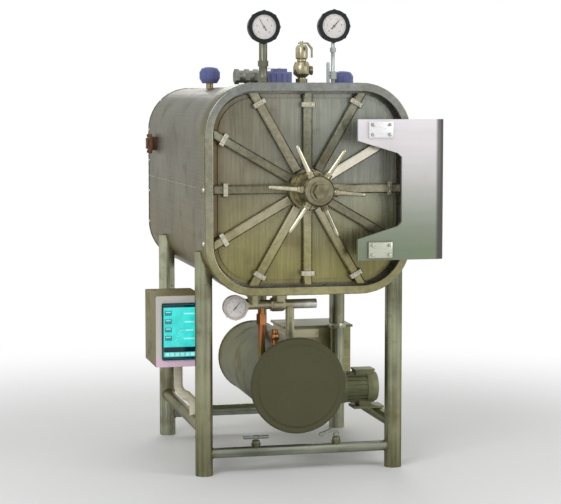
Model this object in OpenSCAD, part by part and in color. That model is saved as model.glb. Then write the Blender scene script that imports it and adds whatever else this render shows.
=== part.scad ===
// Pilot retort sterilizer: a jacketed, rounded-square pressure chamber on a tube frame. A side-hung
// door with twelve radial locking arms closes it, and its boiler, feed tank and controls sit below.
// x runs to the right, y to the back and z up. The door is drawn shut, with its arms drawn in.

/* [Chamber] */
// Height of the chamber's axis above the floor
chamber_z = 888; // [840:1:960]
// Outside width and height of the door collar
collar_size = 640; // [620:2:680]
// Outside corner radius of the door collar
collar_r = 155; // [140:1:170]
// Depth of the door collar from front to back
collar_depth = 165; // [155:1:190]
// Sheet thickness of the door collar
collar_wall = 6; // [4:0.5:6]
// Thickness of the lip that the locking arms engage
lip_t = 12; // [10:0.5:14]
// Width of the lip's face, from the collar's outside to the door opening
lip_w = 24; // [22:0.5:26]
// Step from the collar's outside in to the jacket
jacket_step = 8; // [7:0.5:12]
// Thickness of the lagging between the inner chamber and the jacket
lagging_t = 54; // [50:1:70]
// Wall thickness of the inner chamber
liner_wall = 8; // [5:0.5:10]
// Overall length from the lip's face to the back cover
body_length = 1160; // [1100:5:1250]
// Thickness of the back cover
back_cover_t = 12; // [8:1:20]
// Lagging space between the chamber's back wall and the back cover
back_lagging = 40; // [30:1:60]
// Thickness of the flange at the chamber's mouth
mouth_t = 12; // [10:1:16]
// Free height of the door seal
seal_h = 8; // [6:0.5:10]
// Width of the door seal
seal_w = 18; // [12:1:22]
// Diameter of the side nozzle's cap
nozzle_d = 72; // [50:1:80]
// Distance of the side nozzle from the lip's face
nozzle_y = 1000; // [900:5:1040]
// Height of the side nozzle above the chamber's axis
nozzle_up = 118; // [90:1:122]
// Reach of the side nozzle
nozzle_reach = 32; // [24:1:44]

/* [Door] */
// Gap between the door plate and the lip
door_gap = 8; // [7.5:0.5:12]
// Thickness of the door plate
door_t = 20; // [18:0.5:22]
// Width of the door plate's stepped rim
rim_w = 13; // [8:1:20]
// Depth of the door plate's stepped rim
rim_step = 6; // [3:0.5:8]
// Width of a locking arm
arm_w = 28; // [22:1:30]
// Thickness of a locking arm
arm_t = 16; // [12:0.5:18]
// Bevel along a locking arm's front edges
arm_bevel = 4; // [2:0.5:5]
// Clearance in front of and behind the locking arms
arm_clear = 6; // [5:0.5:8]
// Gap between a drawn-in arm's tip and the lip
arm_gap = 6; // [5.5:0.5:8]
// Travel of the locking arms
arm_stroke = 18; // [14:1:18]
// Distance of an arm's flat bar from the hub's axis
arm_root_r = 66; // [62:1:80]
// Diameter of an arm's inner push rod
rod_d = 10; // [8:0.5:11]
// Length of push rod that stays in the hub when an arm is out
rod_hold = 7; // [5:1:9]
// Running clearance round rods, shaft and pins
run_fit = 0.1; // [0.05:0.01:0.1]
// Sliding clearance between an arm and its guide
guide_fit = 0.6; // [0.4:0.1:1]
// Cheek and strap thickness of an arm guide
guide_t = 7; // [5:0.5:9]
// Length of an arm guide along its arm
guide_l = 14; // [10:1:20]
// Distance of an arm guide from the arm's tip
guide_inset = 34; // [30:1:50]

/* [Hub and handwheel] */
// Diameter of the fixed hub housing
hub_d = 110; // [104:1:116]
// Reach of the hub housing in front of the lip
hub_reach = 45; // [40:1:50]
// Diameter of the handwheel's boss
boss_d = 92; // [70:1:100]
// Length of the handwheel's boss
boss_l = 84; // [70:1:100]
// Length of the nut on the boss's nose
nose_l = 16; // [10:1:24]
// Width of the nut across its corners
nut_d = 46; // [36:1:52]
// Diameter of the handwheel's shaft
shaft_d = 24; // [20:1:28]
// Length of the shaft inside the hub housing
shaft_l = 54; // [40:1:60]
// Number of handwheel spokes
spoke_n = 6; // [4:1:8]
// Diameter of a handwheel spoke at its socket
spoke_d = 16; // [12:1:20]
// Diameter of a handwheel spoke at its tip
spoke_tip = 12; // [8:1:14]
// Reach of a spoke's socket out of the boss
socket_l = 8; // [5:1:12]
// Reach of a handwheel spoke from the axis
spoke_r = 150; // [120:1:170]
// Direction of the first spoke, from the right
spoke_a = 115; // [90:1:150]

/* [Yoke and hinge] */
// Distance of the hinge axis out from the collar's side
hinge_out = 50; // [45:1:60]
// Diameter of the hinge pins
pin_d = 20; // [16:1:24]
// Outside diameter of the hinge barrels
barrel_d = 40; // [34:1:44]
// Height of a hinge bracket
lug_h = 24; // [18:1:30]
// Height of a door knuckle
knuckle_h = 27; // [20:1:30]
// Distance of each hinge bracket above or below the chamber's axis
lug_up = 138; // [120:1:140]
// Vertical play between a door knuckle and its bracket
hinge_play = 0.3; // [0.2:0.1:0.5]
// Length of a hinge bracket's foot along the collar
lug_foot = 75; // [60:1:90]
// Thickness of the yoke plate
yoke_t = 12; // [8:1:14]
// Reach of the yoke plate's face in front of the lip
yoke_reach = 76; // [72:1:78]
// Reach of the yoke's two arms to the left of the posts
yoke_lap = 70; // [60:1:80]
// Reach of the yoke to the right of the hinge axis
yoke_over = 34; // [28:1:40]
// Margin of the yoke's arms outside the posts
yoke_margin = 31; // [26:1:40]
// Width of the yoke's web, to the hinge axis
web_w = 102; // [90:1:115]
// Half of the cut-out's height at the web
cut_root = 98; // [85:1:110]
// Margin of the yoke's arms inside the posts
cut_margin = 33; // [28:1:40]
// Depth of the yoke's return flange
return_d = 40; // [25:1:44]
// Outside radius of the yoke's bend to its return flange
yoke_bend = 24; // [16:1:24]
// Diameter of the posts between door and yoke
post_d = 44; // [36:1:50]
// Distance of the posts in from the door's right edge
post_in = 88; // [82:1:96]
// Distance of the posts in from the door's upper and lower edges
post_down = 107; // [104:1:110]
// Thickness of the yoke's pads
pad_t = 6; // [4:1:10]

/* [Frame] */
// Diameter of the legs
leg_d = 54; // [48:1:60]
// Distance of the legs' axes in from the collar's side
leg_in = 16; // [10:1:24]
// Distance of the front legs from the lip's face
leg_y = 125; // [120:1:130]
// Distance between the front and rear legs
leg_span = 690; // [640:5:760]
// Height of the legs' welded tops below the chamber's axis
leg_drop = 192; // [180:1:200]
// Diameter of the side and rear rails
rail_d = 40; // [32:1:46]
// Height of the side rails
side_rail_z = 142; // [130:1:145]
// Height of the rear rail
rear_rail_z = 78; // [60:1:90]
// Diameter of the front drain pipe
drain_d = 32; // [26:1:36]
// Height of the front drain pipe
drain_z = 68; // [55:1:80]

/* [Drain cocks] */
// Distance of the left cock from the centre line
cock_left_x = -140; // [-170:1:-110]
// Distance of the right cock from the centre line
cock_right_x = 118; // [100:1:150]
// Diameter of a cock's body
cock_d = 24; // [18:1:30]
// Height of a cock's body above the drain pipe's centre
cock_h = 34; // [28:1:40]
// Diameter of a cock's stem
cock_stem_d = 10; // [8:0.5:12]
// Length of the left cock's tee handle
tee_l = 80; // [60:1:100]
// Reach of the right cock's bent lever
lever_l = 48; // [40:1:70]
// Rise of the right cock's lever to its bend
lever_rise = 9; // [6:1:16]
// Width of the right cock's lever
lever_w = 14; // [11:1:16]

/* [Boiler] */
// Distance of the boiler's axis from the centre line
boiler_x = -10; // [-30:1:10]
// Height of the boiler's axis
boiler_z = 273; // [265:1:285]
// Diameter of the boiler's shell
boiler_d = 242; // [220:1:250]
// Diameter of the boiler's front cover
cover_d = 300; // [280:1:300]
// Thickness of the boiler's front cover
cover_t = 22; // [14:1:30]
// Distance of the front cover from the lip's face
cover_y = 90; // [80:1:110]
// Diameter of the boiler's shell flange
flange_d = 276; // [262:1:278]
// Thickness of the boiler's shell flange
flange_t = 14; // [10:1:20]
// Length of the boiler's shell
shell_l = 640; // [560:5:660]
// Radius of the boiler's dished rear head
head_r = 180; // [150:1:240]
// Distance of the rear hanger from the lip's face
hanger_y = 620; // [540:5:680]
// Diameter of the rear hanger
hanger_d = 30; // [20:1:40]
// Diameter of the feed pump's motor
motor_d = 104; // [90:1:110]
// Length of the feed pump's motor
motor_l = 120; // [100:1:130]
// Number of cooling fins on the motor
fin_n = 20; // [12:2:24]
// Height of a cooling fin
fin_h = 6; // [4:0.5:8]
// Thickness of a cooling fin
fin_t = 3; // [2:0.5:4]
// Distance of the feed pump from the lip's face
pump_y = 300; // [280:5:420]
// Thickness of the feed pump's foot plate
foot_t = 8; // [6:1:10]
// Diameter of the feed pump's outlet
pump_pipe_d = 40; // [30:1:50]

/* [Steam pipes] */
// Distance of the steam main from the lip's face
main_y = 200; // [190:1:230]
// Distance of the steam main below the jacket
main_drop = 58; // [48:1:70]
// Diameter of the steam main
main_d = 30; // [26:1:34]
// Left end of the steam main
main_left = -216; // [-230:1:-210]
// Right end of the steam main
main_right = 71; // [50:1:90]
// Bore of the steam main's open end
outlet_d = 22; // [16:1:24]
// Depth of the steam main's open end
outlet_l = 40; // [30:1:50]
// Place of the steam main's left branch to the chamber
branch_x = -130; // [-140:1:-122]
// Diameter of the left branch
branch_d = 40; // [30:1:44]
// Place of the steam main's stop valve
stop_x = -47; // [-55:1:-45]
// Place of the riser from the boiler
riser_x = -14; // [-18:1:0]
// Diameter of the riser and of the valve's branch
riser_d = 28; // [22:1:30]
// Place of the copper pipe
copper_x = -105; // [-110:1:-100]
// Diameter of the copper pipe
copper_d = 22; // [15:1:24]
// Place of the boiler's try cock
try_x = -62; // [-66:1:-58]
// Diameter of the boiler's try cock
try_d = 22; // [16:1:24]

/* [Feed tank] */
// Left side of the feed tank
tank_left = 124; // [100:1:140]
// Width of the feed tank
tank_w = 240; // [220:1:260]
// Depth of the feed tank
tank_d = 190; // [150:1:220]
// Height of the feed tank's underside
tank_z = 182; // [175:1:200]
// Height of the feed tank
tank_h = 170; // [150:1:190]
// Overhang of the feed tank's rim
tank_rim = 8; // [4:1:12]
// Gap between the rear legs and the feed tank
tank_gap = 8; // [6:1:20]
// Thickness of the feed tank's brackets
bracket_t = 40; // [30:1:50]

/* [Controls] */
// Reach of the control box's left side beyond the left legs' axes
box_out = 136; // [126:1:156]
// Width of the control box
box_w = 148; // [140:1:160]
// Depth of the control box
box_d = 220; // [180:1:240]
// Height of the control box
box_h = 222; // [200:1:230]
// Height of the control box's underside
box_z = 330; // [310:1:340]
// Distance of the control box from the lip's face
box_y = 204; // [190:1:220]
// Bend radius of the control box's folded edges
box_bend = 6; // [3:0.5:8]
// Thickness of the control box's front panel
panel_t = 4; // [3:0.5:6]
// Width of the touch screen
screen_w = 112; // [100:1:118]
// Height of the touch screen
screen_h = 178; // [160:1:184]
// Thickness of the touch screen's frame
screen_t = 5; // [3:0.5:8]
// Thickness of the control box's bracket
bracket_plate_t = 8; // [5:1:12]
// Diameter of the cable conduit
conduit_d = 28; // [22:1:30]
// Length of the conduit's gland nut
gland_l = 14; // [10:1:18]
// Place of the conduit under the control box, from the box's right side
conduit_in = 62; // [54:1:70]
// Bend radius of the conduit's centre line
conduit_r = 44; // [40:1:60]
// Wall of the ferrule between the conduit's two bends
ferrule_t = 2; // [1.5:0.5:4]
// Distance of the conduit from the lip's face
conduit_y = 300; // [280:1:330]

/* [Top fittings] */
// Diameter of the chamber's dial gauges
gauge_d = 106; // [96:1:110]
// Depth of a dial gauge's case
gauge_t = 38; // [30:1:44]
// Number of lobes round a dial gauge's bezel
bezel_lobes = 8; // [6:1:12]
// Diameter of the boiler's dial gauge
small_gauge_d = 80; // [70:1:84]
// Distance of the chamber's gauges from the lip's face
gauge_y = 232; // [220:1:240]
// Place of the left gauge
gauge_left_x = -88; // [-92:1:-84]
// Place of the right gauge
gauge_right_x = 138; // [130:1:150]
// Height of the left gauge's centre above the jacket
gauge_left_rise = 185; // [168:1:198]
// Height of the right gauge's centre above the jacket
gauge_right_rise = 190; // [168:1:203]
// Diameter of the left gauge's post
post_left_d = 26; // [20:1:30]
// Diameter of the right gauge's siphon
siphon_d = 12; // [10:1:16]
// Distance of the control valve and safety valve from the lip's face
valve_y = 340; // [330:1:360]
// Left end of the control valve
valve_left = -162; // [-164:1:-150]
// Length of the control valve's body
valve_l = 90; // [80:1:95]
// Diameter of the control valve's body
valve_d = 40; // [34:1:44]
// Length of the control valve's actuator
actuator_l = 92; // [80:1:96]
// Diameter of the control valve's actuator
actuator_d = 52; // [44:1:54]
// Height of the control valve above the jacket
valve_up = 32; // [30:1:40]
// Place of the safety valve
safety_x = 58; // [55:1:66]
// Diameter of the safety valve's body
safety_d = 54; // [44:1:56]
// Height of the safety valve
safety_h = 146; // [130:1:160]
// Place of the left vent valve
vent_left_x = -192; // [-200:1:-170]
// Distance of the left vent valve from the lip's face
vent_left_y = 600; // [520:5:700]
// Place of the right vent valve
vent_right_x = 233; // [220:1:240]
// Distance of the right vent valve from the lip's face
vent_right_y = 480; // [400:5:560]
// Height of the vent valves' knobs above the jacket
vent_up = 16; // [12:1:24]
// Diameter of a vent valve's knob
knob_d = 68; // [56:1:74]
// Height of a vent valve's knob
knob_h = 54; // [44:1:60]
// Number of lobes round a vent valve's knob
knob_lobes = 8; // [6:1:10]
// Diameter of a vent valve's stub
stub_d = 24; // [18:1:30]

/* [Hidden] */
$fn = 96;

// Reach past a surface that a cut has to clear
eps = 1;

// Every rounded square shares the centres of its corners, so walls keep one thickness all round
corner_c = collar_size / 2 - collar_r;
collar_half = collar_size / 2;
collar_in = collar_half - collar_wall;
lip_half = collar_half - lip_w;
jacket_half = collar_half - jacket_step;
liner_out = jacket_half - lagging_t;
liner_half = liner_out - liner_wall;
door_half = lip_half - door_gap;
jacket_top = chamber_z + jacket_half;
jacket_bottom = chamber_z - jacket_half;

// Places along y, from the lip's face back
arm_front = lip_t + arm_clear;
arm_mid = arm_front + arm_t / 2;
door_front = arm_front + arm_t + arm_clear;
door_back = door_front + door_t;
seal_front = door_back + hinge_play;
mouth_front = seal_front + seal_h;
liner_front = mouth_front + mouth_t;
cover_front = body_length - back_cover_t;
back_front = cover_front - back_lagging - liner_wall;
hub_front = -hub_reach;
boss_back = hub_front - hinge_play;
boss_front = boss_back - boss_l;
spoke_y = (boss_back + boss_front) / 2 - spoke_d / 2;
yoke_front = -yoke_reach;
yoke_back = yoke_front + yoke_t;
rear_leg_y = leg_y + leg_span;

// Hinge, yoke, legs and box stand off the collar and the door that carry them
hinge_x = collar_half + hinge_out;
post_x = door_half - post_in;
post_up = door_half - post_down;
yoke_left = post_x - yoke_lap;
yoke_right = hinge_x + yoke_over;
yoke_half = post_up + yoke_margin;
cut_tip = post_up - cut_margin;
web_x = hinge_x - web_w;
leg_x = collar_half - leg_in;
box_left = -leg_x - box_out;
main_z = jacket_bottom - main_drop;
gauge_left_up = jacket_half + gauge_left_rise;
gauge_right_up = jacket_half + gauge_right_rise;

// Top of the drain cocks' stems, where their handles sit
cock_top = drain_z + cock_h + cock_stem_d / 2;

// Feed pump on the right side rail
motor_right = leg_x - foot_t;
rail_top = side_rail_z + rail_d / 2;
motor_z = rail_top + foot_t + motor_d / 2 + foot_t;
motor_left = motor_right - motor_l;
fin_root_r = (motor_d - fin_t) / 2 - fin_h;

// Feed tank behind the rear legs
tank_y = rear_leg_y + leg_d / 2 + tank_gap;

// Conduit set over from the box to the side rail by two equal bends
conduit_x = box_left + box_w - conduit_in;
conduit_dx = -leg_x - conduit_x;
conduit_a = acos(1 - conduit_dx / (2 * conduit_r));
conduit_drop = 2 * conduit_r * sin(conduit_a);
conduit_end = side_rail_z + conduit_drop + rail_d;

// Gauges: the middle of a case, and the boiler gauge at the steam main's left end
gauge_mid = gauge_y + gauge_t / 2;
small_gauge_x = main_left + main_d / 2;
small_gauge_y = main_y - main_d - gauge_t;

// Places of the vent valves
vents = [[vent_left_x, vent_left_y], [vent_right_x, vent_right_y]];

// Front and half width of the strap guides
guide_front = arm_front - guide_fit - guide_t;
guide_half = arm_w / 2 + guide_fit + guide_t;

// Inner end of a drawn-in push rod, and the bottom of its bore
rod_in_r = hub_d / 2 - arm_stroke - rod_hold;
rod_bore_r = rod_in_r - 2;

// Half width of the rounded square that the drawn-in arms' tips follow
tip_half = lip_half - arm_gap;

// Boiler stations along y and the top of its shell
flange_y = cover_y + cover_t;
shell_y = flange_y + flange_t;
boiler_r = boiler_d / 2;

// Centre of the plan: the middle of the widest reach each way
shift_x = -(yoke_right + box_left) / 2;
shift_y = -(body_length + boss_front - nose_l) / 2;

steel = [0.62, 0.60, 0.53];
dull_steel = [0.50, 0.48, 0.40];
bright_steel = [0.82, 0.80, 0.74];
dark_cover = [0.33, 0.32, 0.26];
brass = [0.72, 0.58, 0.30];
copper = [0.72, 0.42, 0.26];
blue = [0.36, 0.37, 0.66];

// Moves the plan's centre to the origin
module place() translate([shift_x, shift_y, 0]) children();

// Rectangle with rounded corners
module round_rect(w, h, r) {
    square([w, h - 2 * r], center = true);
    square([w - 2 * r, h], center = true);
    for (sx = [-1, 1], sy = [-1, 1])
        translate([sx * (w / 2 - r), sy * (h / 2 - r)])
            intersection() {
                circle(r);
                translate([sx * r / 2, sy * r / 2]) square(r, center = true);
            }
}

// Square with rounded corners about the shared corner centres
module rounded(half) round_rect(2 * half, 2 * half, half - corner_c);

// Rounded bar on the chamber's axis between two stations
module prism(half, y0, y1)
    translate([0, y0, chamber_z]) rotate([-90, 0, 0]) linear_extrude(height = y1 - y0) rounded(half);

// Rounded tube on the chamber's axis between two stations
module sleeve(half, inner, y0, y1)
    difference() {
        prism(half, y0, y1);
        prism(inner, y0 - eps, y1 + eps);
    }

// Round bars along y and along x
module bar_y(d, y0, y1) translate([0, y0, 0]) rotate([-90, 0, 0]) cylinder(d = d, h = y1 - y0);
module bar_x(d, x0, x1) translate([x0, 0, 0]) rotate([0, 90, 0]) cylinder(d = d, h = x1 - x0);

// Hexagon nuts along x and along z, measured across their corners
module nut_x(d, x0, x1) translate([x0, 0, 0]) rotate([0, 90, 0]) cylinder(d = d, h = x1 - x0, $fn = 6);
module nut_z(d, z0, z1) translate([0, 0, z0]) cylinder(d = d, h = z1 - z0, $fn = 6);

// Turns a piece drawn along +x to an hour of the door's clock face
module at_hour(hour) translate([0, 0, chamber_z]) rotate([0, 30 * hour - 90, 0]) children();

function hour_angle(hour) = 90 - 30 * hour;

// Distance from the hub to the drawn-in tip of an hour's arm
function tip_r(hour) = tip_half / max(abs(cos(hour_angle(hour))), abs(sin(hour_angle(hour))));

// Height of the jacket's outside above the chamber's axis at a distance x from the middle
function jacket_rise(x) =
    corner_c + sqrt(pow(jacket_half - corner_c, 2) - pow(max(abs(x) - corner_c, 0), 2));

module door_lip()
    color(bright_steel) place() sleeve(collar_half, lip_half, 0, lip_t);

// Rolled collar with a turned-in back edge that sits on the jacket
module door_collar()
    color(steel) place() {
        sleeve(collar_half, collar_in, lip_t, collar_depth - collar_wall);
        sleeve(collar_half, jacket_half, collar_depth - collar_wall, collar_depth);
    }

module mouth_flange()
    color(steel) place() sleeve(collar_in, liner_half, mouth_front, liner_front);

module door_seal()
    color([0.75, 0.72, 0.66]) place() sleeve(liner_out + seal_w, liner_out, seal_front, mouth_front);

module inner_chamber()
    color(steel) place() sleeve(liner_out, liner_half, liner_front, back_front);

module chamber_back()
    color(steel) place() prism(liner_out, back_front, back_front + liner_wall);

// Lagged jacket in two halves, welded at mid-height
module jacket_half_shell(upper)
    intersection() {
        sleeve(jacket_half, liner_out, liner_front, cover_front);
        translate([-collar_size, 0, upper ? chamber_z : chamber_z - collar_size])
            cube([2 * collar_size, body_length, collar_size]);
    }

module jacket_upper() color(steel) place() jacket_half_shell(true);

module jacket_lower() color(dull_steel) place() jacket_half_shell(false);

// Back cover with a stepped edge
module back_cover()
    color(steel) place() {
        prism(jacket_half, cover_front, body_length - back_cover_t / 2);
        prism(jacket_half - jacket_step, body_length - back_cover_t / 2, body_length);
    }

// Nozzle on the left wall, with a flanged cap and its hexagon plug
module side_nozzle()
    color([0.55, 0.36, 0.27]) place()
        translate([-jacket_half, nozzle_y, chamber_z + nozzle_up]) rotate([0, -90, 0]) {
            cylinder(d = nozzle_d * 2 / 3, h = nozzle_reach * 0.6);
            translate([0, 0, nozzle_reach * 0.45]) cylinder(d = nozzle_d, h = nozzle_reach * 0.3);
            nut_z(nozzle_d / 2, nozzle_reach * 0.7, nozzle_reach);
        }

// Bracket with its fixed pin, which carries the door knuckle above it
module hinge_bracket() {
    translate([0, 0, -lug_h / 2]) linear_extrude(height = lug_h) {
        translate([hinge_x, 0]) circle(d = barrel_d);
        polygon([
            [collar_half, lip_t], [collar_half, lip_t + lug_foot], [collar_half + lip_t, lip_t + lug_foot],
            [hinge_x + barrel_d / 3, barrel_d / 4], [hinge_x, -barrel_d / 4]
        ]);
    }
    translate([hinge_x, 0, 0]) cylinder(d = pin_d, h = lug_h / 2 + hinge_play + knuckle_h + pad_t);
}

module hinge_brackets()
    color(dull_steel) place()
        for (side = [-1, 1]) translate([0, 0, chamber_z + side * lug_up]) hinge_bracket();

// Legs, coped to the rounded underside that they are welded to
module leg_tubes(y) for (side = [-1, 1])
    translate([side * leg_x, y, 0]) cylinder(d = leg_d, h = chamber_z - leg_drop);

module legs()
    color(dull_steel) place() {
        difference() {
            leg_tubes(leg_y);
            prism(collar_half, 0, collar_depth);
        }
        difference() {
            leg_tubes(rear_leg_y);
            prism(jacket_half, 0, body_length);
        }
    }

module side_rails()
    color(dull_steel) place() difference() {
        for (side = [-1, 1]) translate([side * leg_x, 0, side_rail_z]) bar_y(rail_d, leg_y, rear_leg_y);
        leg_tubes(leg_y);
        leg_tubes(rear_leg_y);
    }

module rear_rail_bar() translate([0, rear_leg_y, rear_rail_z]) bar_x(rail_d, -leg_x, leg_x);

module rear_rail()
    color(dull_steel) place() difference() {
        rear_rail_bar();
        leg_tubes(rear_leg_y);
    }

module drain_bar() translate([0, leg_y, drain_z]) bar_x(drain_d, -leg_x, leg_x);

module drain_pipe()
    color(dull_steel) place() difference() {
        drain_bar();
        leg_tubes(leg_y);
    }

// Plug cock bodies on the drain pipe, each bored for its handle's stem
module drain_cocks()
    color(brass) place() difference() {
        for (x = [cock_left_x, cock_right_x]) translate([x, leg_y, drain_z]) {
            cylinder(d = cock_d, h = cock_h);
            translate([0, 0, drain_d / 2 + 2]) cylinder(d = cock_d * 1.25, h = cock_d / 3, $fn = 6);
        }
        drain_bar();
        for (x = [cock_left_x, cock_right_x]) translate([x, leg_y, drain_z + cock_h - cock_stem_d])
            cylinder(d = cock_stem_d + 2 * run_fit, h = cock_stem_d + eps);
    }

// Stem that turns in a cock's body
module cock_stem(x) translate([x, leg_y, drain_z + cock_h - cock_stem_d + hinge_play])
    cylinder(d = cock_stem_d, h = cock_stem_d * 1.5);

module cock_tee()
    color(bright_steel) place() {
        cock_stem(cock_left_x);
        translate([cock_left_x, leg_y, cock_top]) {
            translate([0, 0, -hinge_play]) cylinder(d = cock_d * 0.8, h = cock_stem_d);
            translate([0, 0, cock_stem_d / 2]) bar_x(cock_stem_d, -tee_l / 2, tee_l / 2);
        }
    }

// Flat link of the bent lever, with a round boss at each end
module lever_link(a, b) {
    for (end = [a, b]) translate(end) circle(d = lever_w);
    translate(a) rotate(atan2(b[1] - a[1], b[0] - a[0])) translate([0, -lever_w * 0.36])
        square([norm(b - a), lever_w * 0.72]);
}

module cock_lever()
    color(dull_steel) place() {
        cock_stem(cock_right_x);
        translate([cock_right_x, leg_y, cock_top]) {
            translate([0, 0, -hinge_play]) cylinder(d = cock_d * 0.8, h = cock_stem_d);
            translate([0, cock_stem_d / 2, cock_stem_d * 0.8]) rotate([90, 0, 0])
                linear_extrude(height = cock_stem_d) {
                    lever_link([0, 0], [-lever_l / 3, lever_rise]);
                    lever_link([-lever_l / 3, lever_rise], [-lever_l, -lever_rise / 3]);
                }
        }
    }

// Boiler shell with its front flange and dished rear head, about the boiler's axis
module boiler_form()
    translate([boiler_x, flange_y, boiler_z]) rotate([-90, 0, 0]) {
        cylinder(d = flange_d, h = flange_t);
        cylinder(d = boiler_d, h = flange_t + shell_l);
        translate([0, 0, flange_t + shell_l]) intersection() {
            cylinder(d = boiler_d, h = head_r);
            translate([0, 0, -sqrt(head_r * head_r - boiler_r * boiler_r)]) sphere(r = head_r);
        }
    }

module boiler_shell() color(dull_steel) place() boiler_form();

// Round front cover with a shallow raised centre
module boiler_cover()
    color(dark_cover) place()
        translate([boiler_x, cover_y, boiler_z]) rotate([-90, 0, 0]) rotate_extrude()
            polygon([
                [0, 0], [cover_d * 0.42, 0], [cover_d * 0.44, cover_t / 5],
                [cover_d / 2 - cover_t / 5, cover_t / 5], [cover_d / 2, cover_t * 2 / 5],
                [cover_d / 2, cover_t], [0, cover_t]
            ]);

// Hanger between the boiler's shell and the chamber's underside
module boiler_hanger()
    color(dull_steel) place() difference() {
        translate([boiler_x, hanger_y, boiler_z]) {
            cylinder(d = hanger_d, h = jacket_bottom - boiler_z);
            translate([0, 0, jacket_bottom - boiler_z - foot_t]) cylinder(d = hanger_d * 2, h = foot_t);
        }
        boiler_form();
    }

// Feed pump: a finned motor with its fan cowl and terminal box, on a foot plate on the right side
// rail, with its outlet into the boiler
module feed_pump()
    color(dull_steel) place() difference() {
        union() {
            translate([0, pump_y, motor_z]) {
                rotate([0, 90, 0]) rotate_extrude() polygon([
                    [0, boiler_x], [pump_pipe_d / 2, boiler_x], [pump_pipe_d / 2, motor_left - foot_t],
                    [pump_pipe_d * 0.8, motor_left - foot_t], [pump_pipe_d * 0.8, motor_left],
                    [motor_d / 2, motor_left], [motor_d / 2, motor_left + motor_l * 0.14],
                    [fin_root_r, motor_left + motor_l * 0.14], [fin_root_r, motor_left + motor_l * 0.7],
                    [motor_d / 2, motor_left + motor_l * 0.7], [motor_d / 2, motor_right - foot_t],
                    [motor_d * 0.45, motor_right - foot_t], [motor_d * 0.45, motor_right], [0, motor_right]
                ]);
                for (k = [0:fin_n - 1]) rotate([k * 360 / fin_n, 0, 0])
                    translate([motor_left + motor_l * 0.1, -fin_t / 2, fin_root_r - fin_t])
                        cube([motor_l * 0.62, fin_t, fin_h + fin_t]);
            }
            translate([motor_right - motor_l * 2 / 3, pump_y - motor_d / 3, rail_top])
                cube([motor_l * 2 / 3 + rail_d / 2, motor_d * 2 / 3, foot_t]);
            translate([motor_right - motor_l / 2, pump_y - motor_d / 4, rail_top])
                cube([motor_l / 3, motor_d / 2, motor_z - rail_top - foot_t]);
            translate([motor_right - motor_l * 0.6, pump_y - motor_d / 4, motor_z + foot_t])
                cube([motor_l / 2, motor_d / 2, motor_d / 2 - foot_t / 2]);
            translate([motor_right - motor_l * 0.6 - fin_t, pump_y - motor_d / 4 - fin_t, motor_z + motor_d / 2 + foot_t / 4])
                cube([motor_l / 2 + 2 * fin_t, motor_d / 2 + 2 * fin_t, foot_t * 3 / 4]);
        }
        boiler_form();
    }

module main_bar() translate([0, main_y, main_z]) bar_x(main_d, main_left, main_right);

// Steam main under the chamber, with its branches up, its stop valve and the riser from the boiler
module steam_main()
    color(dull_steel) place() difference() {
        union() {
            main_bar();
            translate([branch_x, main_y, main_z]) cylinder(d = branch_d, h = jacket_bottom - main_z);
            translate([stop_x, main_y, main_z]) {
                cylinder(d = riser_d, h = jacket_bottom - main_z);
                bar_x(main_d * 1.5, -main_d * 0.8, main_d * 0.3);
                nut_x(main_d * 1.4, -main_d, main_d * 0.5);
                nut_z(main_d * 1.6, main_d / 3, main_d * 4 / 3);
            }
            translate([branch_x, main_y, main_z]) {
                nut_x(main_d * 1.35, -branch_d, -branch_d / 2);
                translate([0, 0, main_d * 0.9]) cylinder(d = branch_d * 1.2, h = main_d * 0.4);
            }
            translate([riser_x, main_y, boiler_z]) cylinder(d = riser_d, h = main_z - boiler_z);
        }
        translate([0, main_y, main_z]) bar_x(outlet_d, main_right - outlet_l, main_right + eps);
        boiler_form();
    }

// Copper pipe with a union nut, from the boiler up to the steam main
module copper_pipe()
    color(copper) place() difference() {
        translate([copper_x, main_y, boiler_z]) {
            cylinder(d = copper_d, h = main_z - boiler_z);
            translate([0, 0, (main_z + boiler_r - boiler_z) / 2])
                cylinder(d = copper_d * 1.5, h = copper_d * 1.5, $fn = 6);
        }
        main_bar();
        boiler_form();
    }

// Try cock on top of the boiler
module try_cock()
    color(brass) place() difference() {
        translate([try_x, main_y, boiler_z]) {
            cylinder(d = try_d, h = boiler_r + try_d * 2);
            translate([0, 0, boiler_r + try_d]) sphere(d = try_d * 1.4);
        }
        boiler_form();
    }

// Feed tank with a rimmed lid, on a bracket from the right rear leg and one from the rear rail
module feed_tank()
    color(dull_steel) place() difference() {
        union() {
            translate([tank_left, tank_y, tank_z]) cube([tank_w, tank_d, tank_h]);
            translate([tank_left - tank_rim, tank_y, tank_z + tank_h])
                cube([tank_w + 2 * tank_rim, tank_d + tank_rim, tank_rim]);
            translate([leg_x - bracket_t / 2, rear_leg_y, tank_z + tank_h / 3])
                cube([bracket_t, tank_y - rear_leg_y + eps, tank_h / 3]);
            translate([tank_left + bracket_t, rear_leg_y, rear_rail_z - rail_d / 4])
                cube([bracket_t, tank_y - rear_leg_y + foot_t, tank_z - rear_rail_z + tank_h / 2]);
        }
        leg_tubes(rear_leg_y);
        rear_rail_bar();
        translate([tank_left, rear_leg_y - eps, rear_rail_z + rail_d / 2])
            cube([leg_x - leg_d - tank_left, tank_gap + eps, tank_h * 2]);
    }

// Folded control box with a panel, a touch screen and a bracket to the left front leg
module control_box()
    color(dull_steel) place() translate([box_left + box_w / 2, box_y + box_d / 2, box_z])
        linear_extrude(height = box_h) round_rect(box_w, box_d, box_bend);

// Moves a plate drawn flat to the middle of the box's front, with its back at a distance y
module on_box(y) translate([box_left + box_w / 2, y, box_z + box_h / 2]) rotate([90, 0, 0]) children();

module control_panel()
    color([0.80, 0.74, 0.74]) place() on_box(box_y)
        linear_extrude(height = panel_t) round_rect(box_w, box_h, box_bend);

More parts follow.
